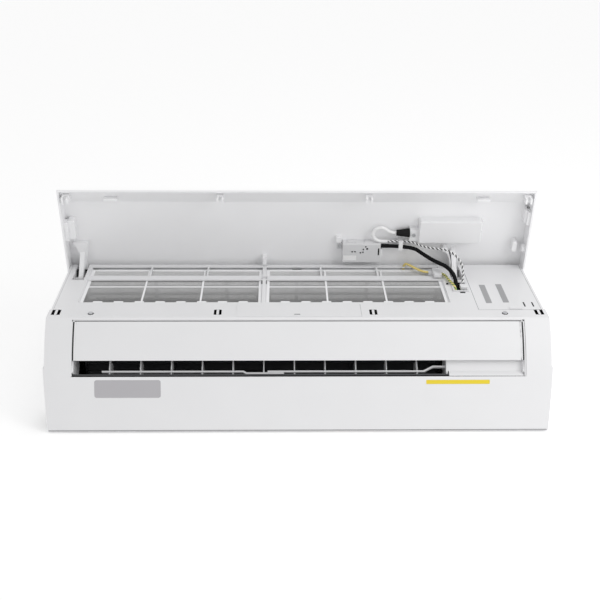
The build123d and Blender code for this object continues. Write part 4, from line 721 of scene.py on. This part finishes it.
# ---------------------------------------------------------------- leads
# A black sleeve with the display's wires and a black and white twisted pair, in a white jacket at
# the plug, run through a tie on the panel and hang in an easy bow to the slot beside the filters.
# The yellow and green earth wire crosses the face under a clip.
SLEEVE_R = 0.0035
PAIR_R = 0.002
JACKET_R = 0.0029
EARTH_R = 0.0021
LEAD_Y = -182.0
PLUG_Y = -183.0
SLEEVE_ROUTE = [on_panel(146.2, LEAD_Y, 205), on_panel(200, LEAD_Y, 205), at(220, -193, 260),
                at(238, -187, 244), at(258, -184, 229), at(271, -172, 207), at(270, -152, 190)]
JACKET_ROUTE = [on_panel(172.5, PLUG_Y, 179), on_panel(161, PLUG_Y, 179),
                on_panel(149.5, LEAD_Y, 168), on_panel(138.5, LEAD_Y, 169),
                on_panel(131.3, LEAD_Y, 177.3), on_panel(131.9, LEAD_Y, 187),
                on_panel(141, LEAD_Y, 195.5), on_panel(158, LEAD_Y, 195.5)]
PAIR_ROUTE = [on_panel(200, LEAD_Y, 195.5), at(218, -206, 264), at(236, -207, 254),
              at(257, -209, 245), at(273, -202, 234), at(283, -188, 222), at(282, -170, 208),
              at(279, -152, 198)]
EARTH_ROUTE = [at(188.5, -151, 279.8), at(188.5, -168, 279.8), at(199, -168.5, 268),
               at(210, -166, 257), at(222, -164.9, 247.3), at(247, -164.9, 246),
               at(256, -165.6, 234), at(258, -165.8, 219), at(262, -166, 203),
               at(267, -164, 189.5), at(270, -152, 181)]
ROUTE_STEPS = 16


def route_line(points):
    """Points along the smooth line of a lead."""
    curve = bpy.data.curves.new("route", "CURVE")
    curve.dimensions = "3D"
    curve.resolution_u = ROUTE_STEPS
    spline = curve.splines.new("NURBS")
    spline.points.add(len(points) - 1)
    for knot, place in zip(spline.points, points):
        knot.co = (*place, 1.0)
    spline.order_u = 3
    spline.use_endpoint_u = True
    drawn = bpy.data.objects.new("route", curve)
    mesh = bpy.data.meshes.new_from_object(drawn)
    line = [v.co.copy() for v in mesh.vertices]
    bpy.data.objects.remove(drawn)
    bpy.data.curves.remove(curve)
    bpy.data.meshes.remove(mesh)
    return line


def side_vectors(line):
    """Two directions across the line at each point, carried along it without twist."""
    pairs = []
    before = None
    for number, point in enumerate(line):
        ahead = line[min(number + 1, len(line) - 1)] - line[max(number - 1, 0)]
        ahead.normalize()
        if before is None:
            side = ahead.orthogonal().normalized()
        else:
            side = (before - ahead * before.dot(ahead)).normalized()
        pairs.append((side, ahead.cross(side)))
        before = side
    return pairs


def distances(line):
    """Distance of each point along a line."""
    run = [0.0]
    for a, b in zip(line, line[1:]):
        run.append(run[-1] + (b - a).length)
    return run


def add_tube(verts, faces, marks, line, radii, around, mark):
    """Adds a capped round tube along a line; marks gets each face's material number."""
    first = len(verts)
    for point, (side, other), radius in zip(line, side_vectors(line), radii):
        for number in range(around):
            turn = 2 * pi * number / around
            verts.append(point + (side * cos(turn) + other * sin(turn)) * radius)
    for ring in range(len(line) - 1):
        for number in range(around):
            a, b = first + ring * around + number, first + ring * around + (number + 1) % around
            faces.append((a, b, b + around, a + around))
            marks.append(mark(ring, number))
    faces.append(tuple(first + number for number in reversed(range(around))))
    faces.append(tuple(first + (len(line) - 1) * around + number for number in range(around)))
    marks += [mark(0, 0), mark(len(line) - 2, 0)]


def lead_piece(name, verts, faces, marks, materials):
    """Mesh of a lead with a material for each mark, shaded smooth."""
    made = mesh_piece(name, verts, faces, materials[0])
    for material in materials[1:]:
        made.data.materials.append(material)
    for face, mark in zip(made.data.polygons, marks):
        face.material_index = mark
        face.use_smooth = True
    return made


sleeve_black = moulded("sleeve black", (0.008, 0.008, 0.009, 1), 0.7, mottle=0.3, grain=2200.0,
                       depth=0.8, shine=0.12)
jacket_white = moulded("jacket white", (0.90, 0.90, 0.90, 1), 0.4)
strand_black = moulded("strand black", (0.012, 0.012, 0.013, 1), 0.5, shine=0.15)
earth_yellow = moulded("earth yellow", (0.84, 0.68, 0.24, 1), 0.42)
earth_green = moulded("earth green", (0.05, 0.26, 0.06, 1), 0.42)

SLEEVE_RIB = 0.0022
SLEEVE_RIB_DEPTH = 0.00022
SLEEVE_SIDES = 14
JACKET_SIDES = 12
WIRE_SIDES = 8
sleeve_line = route_line(SLEEVE_ROUTE)
ribs = [SLEEVE_R - SLEEVE_RIB_DEPTH * (floor(run / SLEEVE_RIB) % 2) for run in distances(sleeve_line)]
verts, faces, marks = [], [], []
add_tube(verts, faces, marks, sleeve_line, ribs, SLEEVE_SIDES, lambda ring, number: 0)
sleeve = lead_piece("display_sleeve", verts, faces, marks, [sleeve_black])
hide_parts("harness_sleeve")
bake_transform(sleeve)

PAIR_TWIST = 0.0075
STRAND_R = (0.0013, 0.0008)
pair_line = route_line(JACKET_ROUTE + PAIR_ROUTE)
pair_run = distances(pair_line)
jacket_end = distances(route_line(JACKET_ROUTE))[-1]
split = min(range(len(pair_line)), key=lambda n: abs(pair_run[n] - jacket_end))
verts, faces, marks = [], [], []
add_tube(verts, faces, marks, pair_line[:split + 1], [JACKET_R] * (split + 1), JACKET_SIDES,
         lambda ring, number: 0)
pair_sides = side_vectors(pair_line)
for strand in (0, 1):
    wound = []
    for number in range(split, len(pair_line)):
        side, other = pair_sides[number]
        turn = 2 * pi * pair_run[number] / PAIR_TWIST + pi * strand
        wound.append(pair_line[number] + (side * cos(turn) + other * sin(turn)) * PAIR_R / 2)
    add_tube(verts, faces, marks, wound, [STRAND_R[strand]] * len(wound), WIRE_SIDES,
             lambda ring, number: strand)
cable = lead_piece("module_cable", verts, faces, marks, [jacket_white, strand_black])
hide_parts("module_lead", "twisted_wire")
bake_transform(cable)

# The green stripe winds round the yellow jacket from the sixth point of the route.
GREEN_FROM = EARTH_ROUTE[5]
STRIPE_STEP = 2
STRIPE_WIDE = 3
earth_line = route_line(EARTH_ROUTE)
green_ring = min(range(len(earth_line)), key=lambda n: (earth_line[n] - GREEN_FROM).length)
verts, faces, marks = [], [], []
add_tube(verts, faces, marks, earth_line, [EARTH_R] * len(earth_line), WIRE_SIDES,
         lambda ring, number: int(ring > green_ring
                                  and (number * STRIPE_STEP + ring) % WIRE_SIDES < STRIPE_WIDE))
earth = lead_piece("earth_lead", verts, faces, marks, [earth_yellow, earth_green])
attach(earth, "casing")
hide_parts("earth_wire")

# ---------------------------------------------------------------- bare stickers
# Plates of thin plastic film, all bare: three on the underside, which follow its curve, two strips
# on the wiring cover and one on the display's box. A thin grey strip of painted shade at the
# underside's back edge stands for the shadow in the gap to the wall.
FILM_PROUD = 0.15
FILM_ROWS = (0, 0.04, 0.1, 0.3, 0.5, 0.7, 0.9, 0.96, 1.0)
FILM_STEPS = 16
FILM_Y = (FACE_Y - 0.12, FACE_Y)
film_grey = moulded("film grey", (0.46, 0.45, 0.47, 1), 0.35)
film_yellow = moulded("film yellow", (0.80, 0.62, 0.03, 1), 0.35)
film_white = moulded("film white", (0.92, 0.92, 0.92, 1), 0.3)
film_soft = moulded("film soft white", (0.80, 0.80, 0.81, 1), 0.3)
film_dark = moulded("film dark grey", (0.36, 0.36, 0.37, 1), 0.35)


def underside_film(name, x, y, corner, material):
    """Film with round corners on the curved underside, between two places across and two of y."""
    verts, faces = [], []
    height = y[1] - y[0]
    for share in FILM_ROWS:
        v = height * share
        gap = max(0.0, corner - min(v, height - v))
        inset = corner - (corner * corner - gap * gap) ** 0.5
        wide = x[1] - x[0] - 2 * inset
        for step in range(FILM_STEPS + 1):
            place = at(x[0] + inset + wide * step / FILM_STEPS, y[0] + v, PROBE_UP)
            hit, normal = casing_tree.ray_cast(place, UPWARD)[:2]
            verts.append(hit + normal * FILM_PROUD / 1000)
    for row in range(len(FILM_ROWS) - 1):
        for step in range(FILM_STEPS):
            a = row * (FILM_STEPS + 1) + step
            faces.append((a, a + FILM_STEPS + 1, a + FILM_STEPS + 2, a + 1))
    film = mesh_piece(name, verts, faces, material)
    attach(film, "casing")


for name, x, y, corner, material in (
        ("wall_gap_shade", (-395.5, 395.5), (-3.9, -2.4), 0.1, groove_and_shade_grey),
        ("film_left", (-322, -218), (-80, -54), 3, film_grey),
        ("film_right", (201, 302), (-79.5, -73.5), 1, film_yellow),
        ("film_plain", (201, 302), (-73.3, -46), 2, film_soft)):
    underside_film(name, x, y, corner, material)
plate("film_strip_left", at, (308.5, 318.5), FILM_Y, (133.5, 202.5), 0.6, film_dark)
plate("film_strip_right", at, (337, 347), FILM_Y, (135.8, 205), 0.6, film_dark)
plate("film_display", on_panel, (81.2, 104), (-176.35, -176.5), (221.5, 231.5), 0.6, film_white)

# ---------------------------------------------------------------- room and camera
# The wall that the unit hangs on is a plain white plane, clear from behind. Soft light comes from
# below and the right, and the camera looks up at the underside from in front.
CAMERA_PLACE = (-0.0324, -0.8900, -1.4793)
CAMERA_TILT = 26.59
CAMERA_YAW = -1.24
CAMERA_ROLL = 0.021
CAMERA_LENS = 59.28
CAMERA_SENSOR = 36
WALL_SIZE = 8.0
WALL_Y = 0.001
WORLD_LIGHT = 0.66
WALL_BOUNCE = 0.35
WALL_GLOW = 0.31
WHITE = (1, 1, 1, 1)
WALL_TONE = (0.8, 0.8, 0.8, 1)
WALL_ROUGHNESS = 0.9
WALL_SHINE = 0.1


def seen_by_camera(tree, lights, shows):
    """Strength that lights the scene, or the other one for rays from the camera, gloss or glass."""
    path = tree.nodes.new("ShaderNodeLightPath")
    total = path.outputs["Is Camera Ray"]
    for label in ("Is Glossy Ray", "Is Transmission Ray"):
        step = tree.nodes.new("ShaderNodeMath")
        step.operation = "MAXIMUM"
        tree.links.new(total, step.inputs[0])
        tree.links.new(path.outputs[label], step.inputs[1])
        total = step.outputs[0]
    scale = tree.nodes.new("ShaderNodeMapRange")
    scale.inputs["To Min"].default_value = lights
    scale.inputs["To Max"].default_value = shows
    tree.links.new(total, scale.inputs["Value"])
    return scale.outputs["Result"]


world = bpy.data.worlds.new("room light")
bpy.context.scene.world = world
world.use_nodes = True
background = world.node_tree.nodes["Background"]
background.inputs["Color"].default_value = WHITE
world_strength = seen_by_camera(world.node_tree, WORLD_LIGHT, 1.0)
world.node_tree.links.new(world_strength, background.inputs["Strength"])

wall_corners = [(x * WALL_SIZE, WALL_Y, z * WALL_SIZE)
                for x, z in ((-1, -1), (1, -1), (1, 1), (-1, 1))]
wall_paint = bpy.data.materials.new("wall paint")
wall_paint.use_nodes = True
paint_tree = wall_paint.node_tree
paint = paint_tree.nodes["Principled BSDF"]
paint.inputs["Base Color"].default_value = WALL_TONE
paint.inputs["Roughness"].default_value = WALL_ROUGHNESS
paint.inputs["Specular IOR Level"].default_value = WALL_SHINE
paint.inputs["Emission Color"].default_value = WHITE
glow = seen_by_camera(paint_tree, WALL_BOUNCE, WALL_GLOW)
paint_tree.links.new(glow, paint.inputs["Emission Strength"])
clear = paint_tree.nodes.new("ShaderNodeBsdfTransparent")
facing = paint_tree.nodes.new("ShaderNodeNewGeometry")
choice = paint_tree.nodes.new("ShaderNodeMixShader")
link(paint_tree, facing, "Backfacing", choice, 0)
link(paint_tree, paint, 0, choice, 1)
link(paint_tree, clear, 0, choice, 2)
link(paint_tree, choice, 0, paint_tree.nodes["Material Output"], "Surface")
wall = mesh_piece("wall", wall_corners, [(0, 1, 2, 3)], wall_paint)

KEY_PLACE = Vector((1.30, -1.05, -0.80))
KEY_AIM = Vector((0.0, -0.15, 0.0))
KEY_WATTS = 8.0
KEY_SIZE = 0.9
FRONT_FROM = Vector((0.15, -0.98, 0.0))
FRONT_STRENGTH = 0.14
FRONT_SOFTNESS = 50


def hang_lamp(light, place, from_side):
    """Lamp at a place, shining from one side."""
    lamp = bpy.data.objects.new(light.name, light)
    lamp.location = place
    lamp.rotation_euler = from_side.to_track_quat("Z", "Y").to_euler()
    bpy.context.scene.collection.objects.link(lamp)


key = bpy.data.lights.new("key", "AREA")
key.energy = KEY_WATTS
key.size = KEY_SIZE
hang_lamp(key, KEY_PLACE, KEY_PLACE - KEY_AIM)
front = bpy.data.lights.new("front", "SUN")
front.energy = FRONT_STRENGTH * pi
front.angle = radians(FRONT_SOFTNESS)
hang_lamp(front, Vector(), FRONT_FROM)

lens = bpy.data.cameras.new("camera")
lens.lens = CAMERA_LENS
lens.sensor_width = CAMERA_SENSOR
lens.sensor_fit = "HORIZONTAL"
camera = bpy.data.objects.new("camera", lens)
tilt = radians(CAMERA_TILT)
ahead = Vector((0, sin(tilt), cos(tilt)))
above = Vector((0, -cos(tilt), sin(tilt)))
right = Vector((1, 0, 0))
yaw = Quaternion(above, radians(CAMERA_YAW))
ahead, right = yaw @ ahead, yaw @ right
roll = Quaternion(ahead, radians(CAMERA_ROLL))
above, right = roll @ above, roll @ right
turned = Matrix((right, above, -ahead)).transposed().to_4x4()
camera.matrix_world = Matrix.Translation(CAMERA_PLACE) @ turned
bpy.context.scene.collection.objects.link(camera)
bpy.context.scene.camera = camera
bpy.context.scene.view_settings.view_transform = "Standard"
